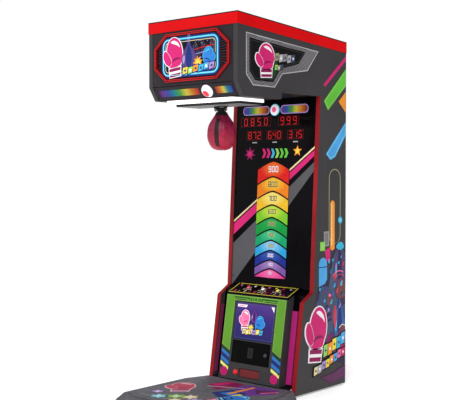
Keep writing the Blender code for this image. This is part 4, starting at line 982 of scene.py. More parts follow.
def lower_picture(art):
    """Gloves, bags and a burst in blue, purple and magenta over the lower rear of the side."""
    rear = SIDE_ART_REAR
    art.lay(
        ("haze", 1, patch(
            (0.350, 0.600), (0.400, 0.655), (0.470, 0.700), (0.520, 0.860), (0.570, 0.915), (0.640, 0.900),
            (rear, 0.800), (rear, 0.180), (0.600, 0.150), (0.480, 0.200), (0.400, 0.280), (0.345, 0.420))),
        ("smoke", 2, patch((0.480, 0.640), (0.530, 0.820), (0.600, 0.880), (rear, 0.780), (rear, 0.240),
                           (0.560, 0.210), (0.450, 0.300), (0.430, 0.460))))
    bulb_bag(art, (0.594, 0.770), (0.118, 0.290), "dusk", "haze", "cyan", 3)
    art.lay(
        ("cyan", 6, patch((0.558, 0.884), (0.580, 0.912), (0.620, 0.914), (0.642, 0.882), (0.600, 0.866))),
        ("pink", 6, ribbon(arc((0.590, 0.650), 0.085, 60, 140, 8), 0.007)),
        ("rose", 6, ribbon(arc((0.600, 0.640), 0.072, 50, 150, 8), 0.005)),
        ("red", 6, disc((0.538, 0.700), 0.012)))
    glove(art, (0.606, 0.600), (0.116, 0.170), "umber", "dark_grey", "plum", 7, 10.0, border=0.003)
    glove(art, (0.432, 0.530), (0.176, 0.225), "slate", "haze", "dusk", 9, 12.0, border=0.004)
    art.lay(
        ("umber", 14, patch((0.456, 0.570), (0.484, 0.606), (0.512, 0.580), (0.500, 0.530), (0.468, 0.530))),
        ("pink", 15, patch((0.470, 0.588), (0.486, 0.600), (0.502, 0.586), (0.486, 0.580))))
    bulb_bag(art, (0.594, 0.420), (0.124, 0.260), "steel_blue", "navy", "cyan", 11)
    art.lay(
        ("rose", 15, patch((0.528, 0.480), (0.552, 0.520), (0.562, 0.450), (0.548, 0.370), (0.532, 0.410))),
        ("umber", 15, patch((0.590, 0.350), (0.630, 0.384), (rear, 0.360), (0.650, 0.290), (0.606, 0.290))),
        ("cream", 16, ribbon([(0.588, 0.372), (0.620, 0.392), (rear, 0.380)], 0.006)))
    sparks = ("cyan", "steel_blue", "sky", "rose", "lilac")
    shards(art, 0.378, 0.640, 0.470, 0.640, sparks, 12, 8, layer=17, size=0.022, slope=0.10)
    shards(art, 0.470, 0.640, 0.690, 0.860, sparks, 9, 12, layer=17, size=0.020, slope=0.10)
    slivers = ("deep_magenta", "plum", "dusk", "magenta")
    shards(art, 0.470, 0.650, 0.230, 0.340, slivers, 9, 21, layer=14, size=0.060)
    glove(art, (0.340, 0.362), (0.222, 0.335), "magenta", "deep_magenta", "white", 18, -6.0, border=0.0075)
    tiles(art, (0.418, 0.205), 0.232, ("pale_green", "orange", "yellow", "cyan", "sky"), 0.080, 24)
    tiles(art, (0.318, 0.105), 0.330,
          ("cream", "pale_grey", "lilac", "yellow", "orange", "sky", "pink", "magenta"), 0.056, 28)
    art.add("plum", 17, [(0.395, 0.086), (0.495, 0.034), (rear, 0.056), (rear, 0.128), (0.520, 0.096)])


def tiles(art, start, length, keys, height, layer, rise=0.30, glow=0.0, edge="black"):
    """A rising row of outlined colour tiles with a small star on each."""
    left, low = start
    pitch = length / len(keys)
    for i, key in enumerate(keys):
        x = left + pitch * i
        up = low + rise * (x - left) + 0.05 * height * (-1) ** i
        tile = [(x, up), (x + pitch * 0.86, up + pitch * 0.2), (x + pitch * 1.02, up + height),
                (x + pitch * 0.10, up + height * 0.90)]
        art.add(edge, layer, grown(tile, pitch * 0.13))
        art.add((key, glow), layer + 1, tile)
        heart = (x + pitch * 0.5, up + height * 0.50)
        art.add((("navy", "white", "dark_grey")[i % 3], glow), layer + 2,
                star(heart, pitch * 0.30, pitch * 0.13, 4 + i % 3, 12.0 * i))


# ---------------------------------------------------------------- display
def tower_art():
    """Slanted bands behind the chevrons, and a row of marks between a burst and a star above them."""
    art = Artwork("display_stripes", DISPLAY)
    rise = DISPLAY.at_height
    edge = 0.3215
    for low_left, high_left, low_right, high_right, key in (
            (1.029, 1.042, 1.508, 1.521, "cream"), (0.948, 1.0175, 1.462, 1.4985, "magenta"),
            (0.618, 0.890, 1.370, 1.424, "stripe_grey")):
        art.add((key, 0.10), 0, [(-edge, rise(low_left)), (edge, rise(low_right)), (edge, rise(high_right)),
                                 (-edge, rise(high_left))])
    burst = (-0.204, rise(1.476))
    art.lay((("deep_magenta", 0.3), 1, star(burst, 0.046, 0.022, 7)),
            (("magenta", 0.3), 2, star(burst, 0.026, 0.012, 7)))
    up = rise(1.478)
    for i, key in enumerate(("magenta", "magenta", "cyan", "pale_green", "green", "green")):
        x = -0.086 + 0.036 * i
        art.add((key, 0.25), 1, [(x - 0.015, up - 0.030), (x + 0.004, up - 0.030), (x + 0.019, up),
                                 (x + 0.004, up + 0.030), (x - 0.015, up + 0.030), (x - 0.001, up)])
    tip = (0.184, rise(1.490))
    art.lay((("orange", 0.2), 1, star(tip, 0.036, 0.016, 5)),
            (("yellow", 0.2), 2, star(tip, 0.020, 0.009, 5)))
    for x in (-0.168, -0.002, 0.166):
        art.add(("pale_grey", 0.2), 1, rounded(x - 0.020, x + 0.020, rise(1.545), rise(1.552), 0.003))
    for i in range(4):
        left = 0.206 + i * 0.021
        art.add(("pale_green", 0.2), 1, rounded(left, left + 0.014, rise(1.676), rise(1.688), 0.003))
    art.done()


DISPLAY_LENS = 0.0035       # how far the windows and chevrons stand off the display panel


def score_art():
    """Seven-segment figures and thin frames on the five number windows."""
    art = Artwork("score_figures", DISPLAY, lift=DISPLAY_LENS)
    lit = surface("figure_lit", (206, 22, 26), 0.3, specular=0.1, glow=0.55, amount=0.05)
    unlit = surface("figure_unlit", (58, 6, 12), 0.3, specular=0.05, amount=0.05)
    upper, lower = DISPLAY.at_height(1.682), DISPLAY.at_height(1.594)
    for text, x, level, height, pitch in (
            ("0850", -0.160, upper, 0.044, 0.056), ("999", 0.108, upper, 0.044, 0.050),
            ("872", -0.168, lower, 0.042, 0.038), ("640", -0.002, lower, 0.042, 0.038),
            ("315", 0.166, lower, 0.042, 0.038)):
        figures(art, text, x, level - height / 2.0, height, pitch, lit, unlit)
    for left, right, level in ((-0.287, -0.033, upper), (0.024, 0.192, upper), (-0.232, -0.104, lower),
                               (-0.066, 0.062, lower), (0.102, 0.230, lower)):
        art.ring(("dark_red", 0.15), 0, box(left, right, level - 0.030, level + 0.030), 0.0035)
    art.done()


CHEVRON_COLOURS = (
    ((222, 30, 26), (244, 120, 34)), ((238, 130, 28), (248, 206, 60)), ((236, 188, 44), (248, 232, 130)),
    ((126, 196, 44), (206, 224, 70)), ((20, 150, 62), (34, 168, 84)), ((20, 160, 104), (70, 196, 140)),
    ((44, 160, 216), (140, 204, 236)), ((30, 46, 140), (50, 92, 176)), ((122, 84, 160), (160, 128, 188)),
    ((226, 62, 144), (240, 110, 172)),
)
CHEVRON_HALF = 0.128
CHEVRON_SAG = 0.052
CHEVRON_TOP = 1.424         # height of the first chevron's point
CHEVRON_STEP = 0.100        # from the first chevron to the second
CHEVRON_SHRINK = 0.93       # each chevron's height against the one above
CHEVRON_GAP = 0.008


def chevron_art():
    """Ten lit chevrons, from the strongest punch at the top down, each with its figure."""
    art = Artwork("chevron_faces", DISPLAY, lift=DISPLAY_LENS)
    marks = Artwork("chevron_figures", DISPLAY, lift=DISPLAY_LENS + LAYER * 3)
    apex, step = CHEVRON_TOP, CHEVRON_STEP
    for number, (edge_colour, centre_colour) in enumerate(CHEVRON_COLOURS):
        last = number == len(CHEVRON_COLOURS) - 1
        up, height = DISPLAY.at_height(apex), step - CHEVRON_GAP
        shares = [i / 12.0 - 1.0 for i in range(25)]
        top = [(CHEVRON_HALF * share, up - CHEVRON_SAG * abs(share) ** 1.4) for share in shares]
        bottom = [(0.0, up - height - 0.012)] if last else [(x, y - height) for x, y in reversed(top)]
        face = lit_lens(f"chevron_{number + 1}", edge_colour, centre_colour, (0.0, apex - height * 0.45))
        art.add(face, 2, grown(top + bottom, -0.0012))
        value = "50" if last else str(900 - 100 * number)
        pale = number == 0 or number > 6
        face_ink = ("white", 0.25) if pale else "black"
        border_ink = ("rose", "purple")[number > 6] if pale else ("cream", 0.2)
        size = height * 0.36
        for i, character in enumerate(value):
            left = (i - (len(value) - 1) / 2.0) * size * 0.86 - size * 0.26
            for colour, layer, extra in ((border_ink, 0, 0.0012), (face_ink, 1, 0.0)):
                stroke_digit(marks, character, left, up - height * 0.70, size, colour, layer, extra)
        apex -= step
        step *= CHEVRON_SHRINK
    art.done()
    marks.done()


STROKES = {         # each segment's ends: left or right edge, and bottom, middle or top
    "a": ((0, 2), (1, 2)), "g": ((0, 1), (1, 1)), "d": ((0, 0), (1, 0)), "f": ((0, 1), (0, 2)),
    "b": ((1, 1), (1, 2)), "e": ((0, 0), (0, 1)), "c": ((1, 0), (1, 1)),
}


def stroke_digit(art, character, left, low, height, colour, layer, extra):
    """A plain block figure made of straight strokes; extra thickens it for a border."""
    width, half = height * 0.52, height / 2.0
    reach = height * 0.075 + extra
    for letter in SEGMENTS[character]:
        (left_end, low_end), (right_end, high_end) = STROKES[letter]
        art.add(colour, layer, box(left + width * left_end - reach, left + width * right_end + reach,
                                   low + half * low_end - reach, low + half * high_end + reach))


def bar_outlines():
    """The pale rims round the display's light bars, and the round lamp between them."""
    art = Artwork("display_light_rims", DISPLAY)
    level = DISPLAY.at_height(1.754)
    for left, right in ((-0.265, -0.057), (0.046, 0.254)):
        rim = rounded(left - 0.006, right + 0.006, level - 0.028, level + 0.028, 0.026)
        art.ring(("lilac", 0.2), 0, rim, 0.0055, thick=0.004)
    art.done()
    lamp = bmesh.new()
    profile = [(0.0, 0.0168), (0.012, 0.0162), (0.022, 0.0146), (0.030, 0.0118), (0.0345, 0.0084),
               (0.0375, 0.0074), (0.0380, 0.0040), (0.0366, 0.0016)]
    turned(lamp, profile, DISPLAY.point(-0.004, level), DISPLAY.out, 40)
    heart = tuple(DISPLAY.point(-0.004, level, 0.012))
    cap = lamp_cap("display_lamp_cap", heart, (236, 80, 140), 0.036, (70, 190, 216))
    piece_from("display_lamp_cap", lamp, [cap], 50)


def turned(shape, profile, centre, axis, sides, index=0):
    """Turn (radius, along) points about an axis through the centre."""
    axis = Vector(axis).normalized()
    side = axis.orthogonal().normalized()
    other = axis.cross(side)
    turns = [2.0 * math.pi * i / sides for i in range(sides)]
    rays = [side * math.cos(turn) + other * math.sin(turn) for turn in turns]
    hoops = []
    for radius, along in profile:
        middle = Vector(centre) + axis * along
        if radius == 0.0:
            hoops.append([shape.verts.new(middle)] * sides)
        else:
            hoops.append([shape.verts.new(middle + ray * radius) for ray in rays])
    skin(shape, hoops, lambda level, i: index)
    for hoop in (hoops[0], hoops[-1]):
        if hoop[0] is not hoop[1]:
            shape.faces.new(hoop).material_index = index


def skin(shape, hoops, index):
    """Faces between neighbouring hoops of corners; a hoop of one corner repeated is a point."""
    for level, (lower, upper) in enumerate(zip(hoops, hoops[1:])):
        for i, corner in enumerate(lower):
            j = (i + 1) % len(lower)
            corners = list(dict.fromkeys((corner, lower[j], upper[j], upper[i])))
            shape.faces.new(corners).material_index = index(level, i)


# ---------------------------------------------------------------- console
def console_art():
    """Dark shapes and a pale rim on the green frame, and sloped stripes on both sides of the console."""
    lines = Artwork("console_bezel_lines", CONSOLE, lift=0.004)
    rise = CONSOLE.at_height
    for side in (-1, 1):
        for outer, inner, inner_low, top, low in (
                (0.176, 0.060, 0.050, 0.566, 0.559), (0.168, 0.080, 0.074, 0.552, 0.547)):
            lines.add("dark_green", 0, [(side * outer, rise(top)), (side * inner, rise(top)),
                                        (side * inner_low, rise(low)), (side * outer, rise(low))])
        for i in range(3):
            x = side * (0.016 + 0.014 * i)
            lines.add("dark_green", 0, [(x, rise(0.548)), (x + side * 0.006, rise(0.548)),
                                        (x + side * 0.014, rise(0.568)), (x + side * 0.008, rise(0.568))])
    lines.add("dark_green", 0, star((0.0, rise(0.558)), 0.012, 0.005, 4, 0.0))
    outer = [(-0.240, 0.574), (-0.240, 0.262), (-0.172, 0.228), (-0.172, 0.543), (0.172, 0.543),
             (0.172, 0.262), (0.240, 0.228), (0.240, 0.574)]
    lines.ring("pale_green", 0, [(x, rise(z)) for x, z in outer], 0.0022)
    lines.done()

    stripes = Artwork("console_stripes", CONSOLE)
    drop = 0.034
    for left, right in ((-0.240, -0.172), (0.172, 0.240)):
        for top, low, key in ((0.254, 0.240, "dark_green"), (0.236, 0.217, "blue"), (0.213, 0.196, "navy"),
                              (0.192, 0.170, "blue"), (0.160, 0.140, "pale_yellow")):
            stripes.add((key, 0.08), 0, [(left, rise(low)), (right, rise(low - drop)),
                                         (right, rise(top - drop)), (left, rise(top))])
    stripes.done()


def screen_art():
    """A generic attract picture: two gloves, a hanging bag and a burst over a row of colour tiles."""
    art = Artwork("screen_art", CONSOLE, lift=-0.002)
    low, high = CONSOLE.at_height(0.309), CONSOLE.at_height(0.531)
    art.lay(
        (("slate", 0.09), 1, box(-0.1535, 0.1535, low + 0.004, high - 0.004), 0.0032),
        (("white", 0.23), 2, [(-0.146, high - 0.026), (-0.076, high - 0.026), (-0.066, high - 0.010),
                              (-0.146, high - 0.010)]),
        (("pink", 0.14), 3, rounded(-0.138, -0.086, high - 0.021, high - 0.015, 0.002)),
        (("white", 0.27), 2, [(0.126, high - 0.008), (0.150, high - 0.008), (0.150, high - 0.040)]))
    glove(art, (-0.082, low + 0.118), (0.088, 0.124), ("pink", 0.16), ("rose", 0.09), ("white", 0.16),
          2, 6.0, border=0.0035)
    glove(art, (0.048, low + 0.102), (0.076, 0.098), ("blue", 0.18), ("navy", 0.09), ("cyan", 0.18),
          2, -10.0, flip=True, border=0.0035)
    bulb_bag(art, (-0.004, low + 0.150), (0.050, 0.084), ("purple", 0.14), ("deep_purple", 0.09),
             ("lilac", 0.14), 2)
    art.add(("yellow", 0.15), 7, star((-0.022, low + 0.074), 0.026, 0.013, 9, 10.0))
    tiles(art, (-0.088, low + 0.030), 0.166, ("cream", "yellow", "cream", "lilac", "yellow", "cyan"), 0.034,
          9, 0.04, 0.15, "deep_purple")
    art.done()


BUTTONS_X = (-0.12, 0.0, 0.12)


def control_art():
    """A double frame, a row of small stars, rings round the buttons and slivers along the front."""
    art = Artwork("control_panel_art", CONTROL)
    length = math.hypot(CONTROL_RUN, CONTROL_RISE)
    art.ring(("yellow", 0.05), 1, box(-0.241, 0.241, 0.004, length - 0.006), 0.0045)
    art.ring("dark_green", 1, box(-0.230, 0.230, 0.014, length - 0.016), 0.003)
    for i, key in enumerate(("pink", "rose", "white", "cream", "pink", "yellow", "rose", "pale_grey")):
        x = -0.200 + 0.057 * i
        if any(abs(x - button) < 0.022 for button in BUTTONS_X):
            x += 0.026
        art.add(key, 2, star((x, 0.098), 0.011, 0.005, 4 + i % 3, 20.0 * i))
    for x in BUTTONS_X:
        art.ring(("pale_grey", 0.1), 2, disc((x, 0.066), 0.0205), 0.003)
        for turn in (210, 270, 330):
            away = math.radians(turn)
            spot = (x + 0.031 * math.cos(away), 0.066 + 0.031 * math.sin(away))
            art.add(("cream", 0.1), 2, star(spot, 0.006, 0.003, 4, turn))
    shards(art, -0.215, 0.215, 0.026, 0.032, ("rose", "olive", "cream", "magenta"), 12, 13, layer=2,
           size=0.014)
    art.done()


# ---------------------------------------------------------------- platform artwork
def platform_art():
    """Two gloves, a heap of stars and slanted shapes on the mat."""
    art = Artwork("platform_art", DECK)
    glove(art, (-0.232, -0.250), (0.185, 0.240), "rose", "deep_magenta", "pale_pink", 2, 40.0, border=0.008)
    for key, centre, outer in (
            ("pale_green", (-0.080, -0.440), 0.062), ("pale_cyan", (-0.160, -0.500), 0.056),
            ("cream", (0.000, -0.400), 0.058), ("lilac", (0.080, -0.450), 0.060),
            ("pink", (0.160, -0.370), 0.056), ("pale_cyan", (0.230, -0.440), 0.050),
            ("cream", (-0.020, -0.510), 0.050), ("lilac", (-0.250, -0.420), 0.046)):
        art.lay(("dark_grey", 2, star(centre, outer * 1.12, outer * 0.62, 6, 10.0)),
                (key, 3, star(centre, outer, outer * 0.54, 6, 10.0)),
                ("white", 4, star(centre, outer * 0.40, outer * 0.20, 6, 40.0)))
    art.lay(
        ("deep_magenta", 0, [(-0.160, -0.090), (-0.110, 0.060), (0.020, 0.064), (0.040, -0.040),
                             (-0.020, -0.150)]),
        ("magenta", 1, [(-0.150, -0.060), (-0.090, 0.050), (-0.060, 0.050), (-0.080, -0.080)]),
        ("purple", 0, [(0.020, -0.050), (0.060, 0.064), (0.300, 0.064), (0.330, -0.040), (0.220, -0.160)]),
        ("plum", 1, [(0.160, -0.010), (0.300, 0.050), (0.325, -0.020), (0.240, -0.090)]),
        ("navy", 1, [(0.010, -0.230), (0.060, -0.100), (0.190, -0.120), (0.250, -0.240), (0.110, -0.290)]),
        ("blue", 2, [(0.060, -0.210), (0.090, -0.140), (0.150, -0.150), (0.160, -0.230)]),
        ("orange", 3, [(0.098, -0.200), (0.112, 0.030), (0.136, 0.030), (0.128, -0.196)]),
        ("yellow", 3, [(0.150, -0.215), (0.168, -0.160), (0.200, -0.160), (0.186, -0.215)]),
        ("pale_grey", 2, [(-0.130, -0.110), (0.090, -0.020), (0.090, -0.030), (-0.124, -0.122)]),
        ("pink", 2, [(0.240, -0.060), (0.310, 0.030), (0.318, 0.020), (0.254, -0.070)]))
    glove(art, (0.225, -0.270), (0.150, 0.180), "blue", "navy", "pale_cyan", 4, -35.0, flip=True,
          border=0.005)
    art.add("pale_grey", 1, ribbon([(-0.300, -0.520), (0.225, -0.520)], 0.004))
    art.done()


# ---------------------------------------------------------------- punching bag
BAG_AXIS_Y = -0.127
BAG_PROFILE = (         # (radius, height) from the foot up to the neck
    (0.0, 1.4872), (0.018, 1.4878), (0.034, 1.4905), (0.056, 1.5015), (0.0735, 1.5250), (0.0838, 1.5560),
    (0.0858, 1.5900), (0.0815, 1.6220), (0.0710, 1.6500), (0.0556, 1.6740), (0.0420, 1.6940),
    (0.0350, 1.7080), (0.0318, 1.7150))
GORES = 8
SIDES = 128


def bag_radius(share):
    """(radius, height) at a share of the way along the profile, smoothly through its points."""
    last = len(BAG_PROFILE) - 1
    i = min(int(share * last), last - 1)
    place = between([BAG_PROFILE[min(max(i + k, 0), last)] for k in (-1, 0, 1, 2)], share * last - i)
    return max(place.x, 0.0), place.y


def bag_surface(share, angle, lift=0.0):
    """A point on the leather: gores that swell between sunk seams, gathered under the neck."""
    radius, height = bag_radius(share)
    phase = (angle / (2.0 * math.pi) * GORES) % 1.0
    off_seam = min(phase, 1.0 - phase) * 2.0 * math.pi / GORES * max(radius, 0.004)
    seam = math.exp(-(off_seam / 0.0032) ** 2) * 0.0018
    swell = math.sin(math.pi * phase) * 0.0012
    neck = math.exp(-((height - 1.690) / 0.016) ** 2)
    gather = neck * 0.0011 * math.sin(angle * 26.0 + 2.0 * math.sin(angle * 3.0))
    dimple = 0.0007 * math.sin(angle * 3.0 + height * 40.0) * math.sin(height * 55.0)
    fade = min(1.0, radius / 0.02)
    radius = radius + (swell - seam + gather + dimple) * fade + lift
    return Vector((radius * math.cos(angle), BAG_AXIS_Y + radius * math.sin(angle), height))


STRIPE_ANGLE = -70.0     # degrees about Z: the black stripe's middle
STRIPE_HALF = 10.0
BLACK_STRIPE = (1.508, 1.676)       # heights between which the stripe runs
BLACK_NECK = 1.694                  # the leather is black above this height


def punching_bag():
    """The inflated leather bag, with a black stripe and a black neck, in place of the CAD bag."""
    hide = leather("bag_leather", (170, 26, 78), (104, 10, 42))
    dark = leather("bag_stripe_leather", (24, 20, 24), (10, 8, 10))
    rings = 96
    shape = bmesh.new()
    turns = [2.0 * math.pi * i / SIDES for i in range(SIDES)]
    hoops = [[shape.verts.new((0.0, BAG_AXIS_Y, BAG_PROFILE[0][1]))] * SIDES]
    for ring in range(1, rings + 1):
        hoops.append([shape.verts.new(bag_surface(ring / rings, turn)) for turn in turns])

    def black(ring, i):
        middle = math.degrees(2.0 * math.pi * (i + 0.5) / SIDES)
        away = abs((middle - STRIPE_ANGLE + 180.0) % 360.0 - 180.0)
        height = bag_radius((ring + 0.5) / rings)[1]
        on_stripe = away < STRIPE_HALF and BLACK_STRIPE[0] < height < BLACK_STRIPE[1]
        return int(on_stripe or height > BLACK_NECK)

    skin(shape, hoops, black)
    shape.faces.new(hoops[-1])
    bag = piece_from("leather_bag", shape, [hide, dark], 60, "bag_arm")
    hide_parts("punching_bag")
    bag_stitching()


def bag_stitching():
    """Two rows of stitches beside each seam, a stitched round patch below and a laced slit at the rear."""
    thread = surface("bag_thread", (206, 70, 124), 0.6, grain=3000.0)
    black = surface("bag_black_thread", (30, 26, 30), 0.6, grain=3000.0)
    shape = bmesh.new()
    for gore in range(GORES):
        seam = 2.0 * math.pi * gore / GORES
        for side in (-1, 1):
            for k in range(34):
                share = 0.22 + 0.64 * k / 34.0
                angle = seam + side * 0.0046 / bag_radius(share)[0]
                thread_between(shape, (share, angle), (share + 0.010, angle))
    for k in range(40):
        angle = 2.0 * math.pi * k / 40
        thread_between(shape, (0.2, angle - 0.03), (0.2, angle + 0.03))
    rear = math.radians(90.0)
    for k in range(7):
        share = 0.62 + 0.030 * k
        for lean in (-0.10, 0.10):
            thread_between(shape, (share, rear - lean), (share + 0.022, rear + lean), 0.0006, 0.0011, 1)
    piece_from("bag_stitches", shape, [thread, black], 50, "bag_arm")


def thread_between(shape, start, end, lift=0.0001, radius=0.0005, index=0):
    """A short raised thread between two places on the leather, each a (share, angle)."""
    rod(shape, bag_surface(*start, lift), bag_surface(*end, lift), radius, index)


def rod(shape, start, end, radius, index):
    """A closed six-sided bar between two points, with slightly domed ends."""
    axis = end - start
    length = axis.length
    profile = [(0.0, -radius * 0.6), (radius * 0.7, -radius * 0.2), (radius, radius),
               (radius, length - radius), (radius * 0.7, length + radius * 0.2), (0.0, length + radius * 0.6)]
    turned(shape, profile, start, axis, 6, index)


# ---------------------------------------------------------------- hardware
SCREW_HEAD = ((1.0, 0.0), (1.0, 0.25), (0.92, 0.48), (0.70, 0.66), (0.50, 0.72), (0.46, 0.72), (0.44, 0.30),
              (0.0, 0.26))      # distance from the axis and height, for a head of radius 1


def screw(shape, plane, across, up, out, radius):
    """A button-head screw with a round socket."""
    head = [(radius * away, radius * along) for away, along in SCREW_HEAD]
    turned(shape, head, plane.point(across, up, out), plane.out, 24)


def screws():
    """The screws of the front panels and of the rear panel."""
    black = surface("black_screw", (26, 26, 28), 0.32, 0.9, grain=2000.0)
    steel = brushed("steel_screw", (176, 176, 180), 0.28)
    middle = math.hypot(CHIN_RUN, CHIN_RISE) / 2.0
    display_rows = [DISPLAY.at_height(z) for z in (0.68, 0.95, 1.22, 1.49, 1.78)]
    console_rows = [CONSOLE.at_height(z) for z in (0.066, 0.130)]
    front = bmesh.new()
    for plane, half, rows, out, radius in (
            (HEAD, 0.190, (1.892, 2.160), 0.008, 0.0042), (HEAD, 0.290, (1.975, 2.077), 0.008, 0.0042),
            (CHIN, 0.313, (middle - 0.030, middle + 0.030), -0.002, 0.0040),
            (DISPLAY, 0.309, display_rows, 0.0, 0.0045), (CONSOLE, 0.232, console_rows, 0.0, 0.0042),
            (CONTROL, 0.232, (0.010, 0.119), 0.0, 0.0040)):
        for x in (-half, half):
            for up in rows:
                screw(front, plane, x, up, out, radius)
    piece_from("front_screws", front, [black], 40)
    back = bmesh.new()
    for half, rows in ((0.305, (0.075, 0.35, 0.65, 0.95, 1.25, 1.55, 1.80, 2.06)), (0.10, (0.075, 2.06))):
        for x in (-half, half):
            for z in rows:
                screw(back, REAR, x, z, 0.0, 0.0055)
    piece_from("rear_screws", back, [steel], 40)


def slab(shape, low, high):
    """A box between two corners."""
    foot = box(low[0], high[0], low[1], high[1])
    add_prism(shape, [foot], lambda x, y: Vector((x, y, low[2])), lambda x, y: Vector((x, y, high[2])))


def bar_along(shape, profile, left, right):
    """A straight bar along X whose section is the (y, z) profile."""
    add_prism(shape, [profile], lambda y, z: Vector((left, y, z)), lambda y, z: Vector((right, y, z)))


def kick_plate():
    """The black plate and shelf that close the cabinet's foot behind the platform."""
    shape = bmesh.new()
    reach = HALF_WIDTH - 0.034
    slab(shape, (-reach, 0.1335, 0.003), (reach, 0.1365, 0.0495))
    slab(shape, (-reach, 0.1335, 0.0499), (reach, 0.1866, 0.0522))
    board = surface("kick_board", (16, 14, 17), 0.5, specular=0.1, grain=900.0)
    bevel = piece_from("kick_plate", shape, [board]).modifiers.new("edges", "BEVEL")
    bevel.width = 0.0008
    bevel.segments = 2
    bevel.limit_method = "ANGLE"


def wall_strips():
    """Dim lit lenses on the cabinet's inner walls, beside the console's light strips."""
    lens = surface("wall_lens", (124, 44, 82), 0.34, specular=0.15, grain=600.0, depth=0.00004, glow=0.12)
    lean = 0.17 * 0.43      # the console's slope, over the strip's height
    profile = [(0.154, 0.070), (0.184, 0.070), (0.184 + lean, 0.500), (0.154 + lean, 0.500)]
    shape = bmesh.new()
    for side in (-1.0, 1.0):
        bar_along(shape, profile, side * (HALF_WIDTH - 0.0317), side * (HALF_WIDTH - 0.0303))
    piece_from("wall_light_strips", shape, [lens])


VENT_LOW = 1.86         # the lowest rear vent's middle
VENT_PITCH = 0.035
VENTS = 5
LOUVRE = ((0.0, 0.0115), (0.0015, 0.0115), (0.0080, -0.0030), (0.0080, -0.0045), (0.0066, -0.0045),
          (0.0004, 0.0090), (0.0, 0.0090))      # a hood's section: out from the panel, up from its middle
PANEL_INSIDE, PANEL_OUTSIDE = (corner.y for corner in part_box("rear_panel"))


def louvres():
    """Hoods over the rear vents, and a foam filter inside them."""
    steel = surface("louvre_steel", (24, 24, 26), 0.42, 0.3, specular=0.25, grain=1300.0, depth=0.0001,
                    scuffs=0.2)
    hoods = bmesh.new()
    for i in range(VENTS):
        middle = VENT_LOW + VENT_PITCH * i
        bar_along(hoods, [(PANEL_OUTSIDE + out, middle + up) for out, up in LOUVRE], -0.156, 0.156)
    piece_from("rear_louvres", hoods, [steel])

    foam = bmesh.new()
    top = VENT_LOW + VENT_PITCH * (VENTS - 1)
    slab(foam, (-0.165, PANEL_INSIDE - 0.006, VENT_LOW - 0.02), (0.165, PANEL_INSIDE - 0.0006, top + 0.02))
    cloth = surface("filter_foam", (20, 20, 21), 0.9, specular=0.05, grain=420.0, depth=0.0012)
    piece_from("vent_filter", foam, [cloth])


def door_seal():
    """Rubber strips inside the rear panel, round the service door's opening."""
    seal = bmesh.new()
    for left, right, down, up in (
            (-0.214, -0.1945, 0.244, 1.156), (-0.1940, 0.212, 0.244, 0.256), (-0.1940, 0.212, 1.144, 1.156),
            (0.1965, 0.212, 0.2565, 0.650), (0.1965, 0.212, 0.780, 1.1435)):
        slab(seal, (left, PANEL_INSIDE - 0.0040, down), (right, PANEL_INSIDE - 0.0008, up))
    rubber = surface("seal_rubber", (18, 18, 19), 0.8, specular=0.1, grain=700.0, depth=0.0003)
    piece_from("service_door_seal", seal, [rubber])


def rating_plate():
    """A plate with blank lines and two rivets, and the surround of the power inlet."""
    plate = Artwork("rating_plate", REAR)
    silver = brushed("plate_silver", (168, 170, 172), 0.36)
    plate.add(silver, 3, rounded(-0.205, -0.110, 0.165, 0.215, 0.004), thick=0.0008)
    for row in range(4):
        right, up = -0.125 - 0.012 * (row % 2), 0.009 * row
        plate.add("dark_grey", 5, box(-0.198, right, 0.175 + up, 0.1775 + up), thick=0.0010)
    for x in (-0.201, -0.114):
        plate.add("slate", 6, disc((x, 0.190), 0.0017, 12), thick=0.0013)
    plate.ring("slate", 2, rounded(-0.2945, -0.2255, 0.1050, 0.1550, 0.004), 0.0035, thick=0.0012)
    plate.done()


ROOF_FALL = 0.0712      # from the roof's front edge to its rear edge


def roof_details():
    """The roof's two seams and its row of screws along each edge."""
    low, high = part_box("roof_panel")
    roof = Plane((0.0, low.y, high.z), (0.0, high.y - low.y, -ROOF_FALL))
    black = surface("roof_screw", (30, 30, 32), 0.36, 0.8, grain=1800.0)
    heads = bmesh.new()
    for x in (-0.337, 0.337):
        for i in range(6):
            screw(heads, roof, x, 0.030 + 0.199 * i, 0.0, 0.0048)
    for x in (-0.17, 0.0, 0.17):
        for along in (0.018, 1.037):
            screw(heads, roof, x, along, 0.0, 0.0048)
    piece_from("roof_screws", heads, [black], 40)
    seams = Artwork("roof_seams", roof)
    for along in (0.295, 0.690):
        seams.add("slate", 1, box(-0.352, 0.352, along - 0.0012, along + 0.0012))
        seams.add("dark_grey", 2, box(-0.352, 0.352, along - 0.0004, along + 0.0004))
    seams.done()


def platform_hardware():
    """Bolts that hold the platform's deck, one near each corner and along the sides."""
    bolts = bmesh.new()
    for x, y in ((0.357, -0.400), (0.357, -0.140), (0.318, 0.090), (0.190, -0.577)):
        screw(bolts, DECK, -x, y, 0.0, 0.0062)
        screw(bolts, DECK, x, y, 0.0, 0.0062)
    steel = brushed("deck_bolt_steel", (120, 120, 124), 0.36)
    piece_from("deck_bolts", bolts, [steel], 40)


def studio_floor():
    """A wide white disc that fades into the white background."""
    shape = bmesh.new()
    bmesh.ops.create_circle(shape, cap_ends=True, radius=60.0, segments=96)
    mesh = bpy.data.meshes.new("studio_floor")
    shape.to_mesh(mesh)
    shape.free()
    white = surface("studio_floor", (250, 250, 250), 0.75, specular=0.1, amount=0.01, grain=30.0, glow=0.36)
    mesh.materials.append(white)
    floor = bpy.data.objects.new("studio_floor", mesh)
    bpy.context.scene.collection.objects.link(floor)


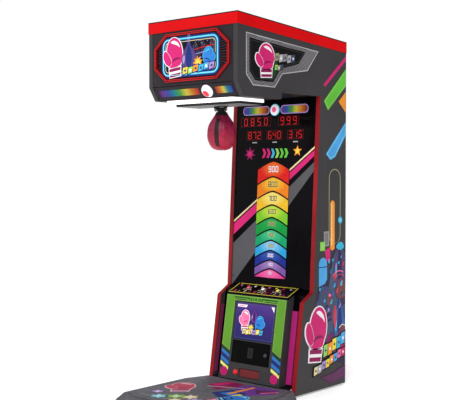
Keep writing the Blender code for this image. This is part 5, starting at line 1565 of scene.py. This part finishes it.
def studio_world():
    """A background that is white to the camera and dimmer as a light."""
    world = bpy.data.worlds.new("studio")
    world.use_nodes = True
    bpy.context.scene.world = world
    tree = world.node_tree
    tree.nodes.clear()
    output = tree.nodes.new("ShaderNodeOutputWorld")
    sky = tree.nodes.new("ShaderNodeBackground")
    sky.inputs["Color"].default_value = (1.0, 1.0, 1.0, 1.0)
    seen = tree.nodes.new("ShaderNodeLightPath")
    strength = tree.nodes.new("ShaderNodeMapRange")
    strength.inputs["To Min"].default_value = 0.30
    strength.inputs["To Max"].default_value = 1.0
    tree.links.new(seen.outputs["Is Camera Ray"], strength.inputs["Value"])
    tree.links.new(strength.outputs["Result"], sky.inputs["Strength"])
    tree.links.new(sky.outputs["Background"], output.inputs["Surface"])


def studio_lights():
    sun = bpy.data.lights.new("key", "SUN")
    sun.energy = 2.0
    sun.angle = math.radians(35.0)
    lamp(sun, (2.6, -4.2, 5.2), (0.0, 0.1, 1.0))
    soft_box("left_fill", (-3.2, -3.4, 2.6), (0.0, 0.0, 1.2), 3.0, 30.0)
    soft_box("rear_fill", (-1.5, 4.2, 3.0), (0.0, 0.3, 1.0), 3.0, 70.0)
    soft_box("low_front", (1.2, -3.2, 0.8), (0.0, 0.0, 0.9), 1.6, 8.0)


def lamp(data, place, target):
    light = bpy.data.objects.new(data.name, data)
    light.location = place
    light.rotation_euler = (Vector(target) - Vector(place)).to_track_quat("-Z", "Y").to_euler()
    bpy.context.scene.collection.objects.link(light)


def soft_box(name, place, target, size, power):
    data = bpy.data.lights.new(name, "AREA")
    data.shape = "SQUARE"
    data.size = size
    data.energy = power
    lamp(data, place, target)


# ---------------------------------------------------------------- the whole picture
def build():
    bpy.context.scene.view_settings.view_transform = "Standard"
    add_camera()
    studio_floor()
    studio_world()
    studio_lights()
    finish_cad()
    marquee_art()
    side_art("side_art_right", RIGHT, False)
    side_art("side_art_left", LEFT, True)
    tower_art()
    score_art()
    chevron_art()
    bar_outlines()
    console_art()
    screen_art()
    control_art()
    platform_art()
    punching_bag()
    screws()
    kick_plate()
    wall_strips()
    louvres()
    door_seal()
    rating_plate()
    roof_details()
    platform_hardware()


build()
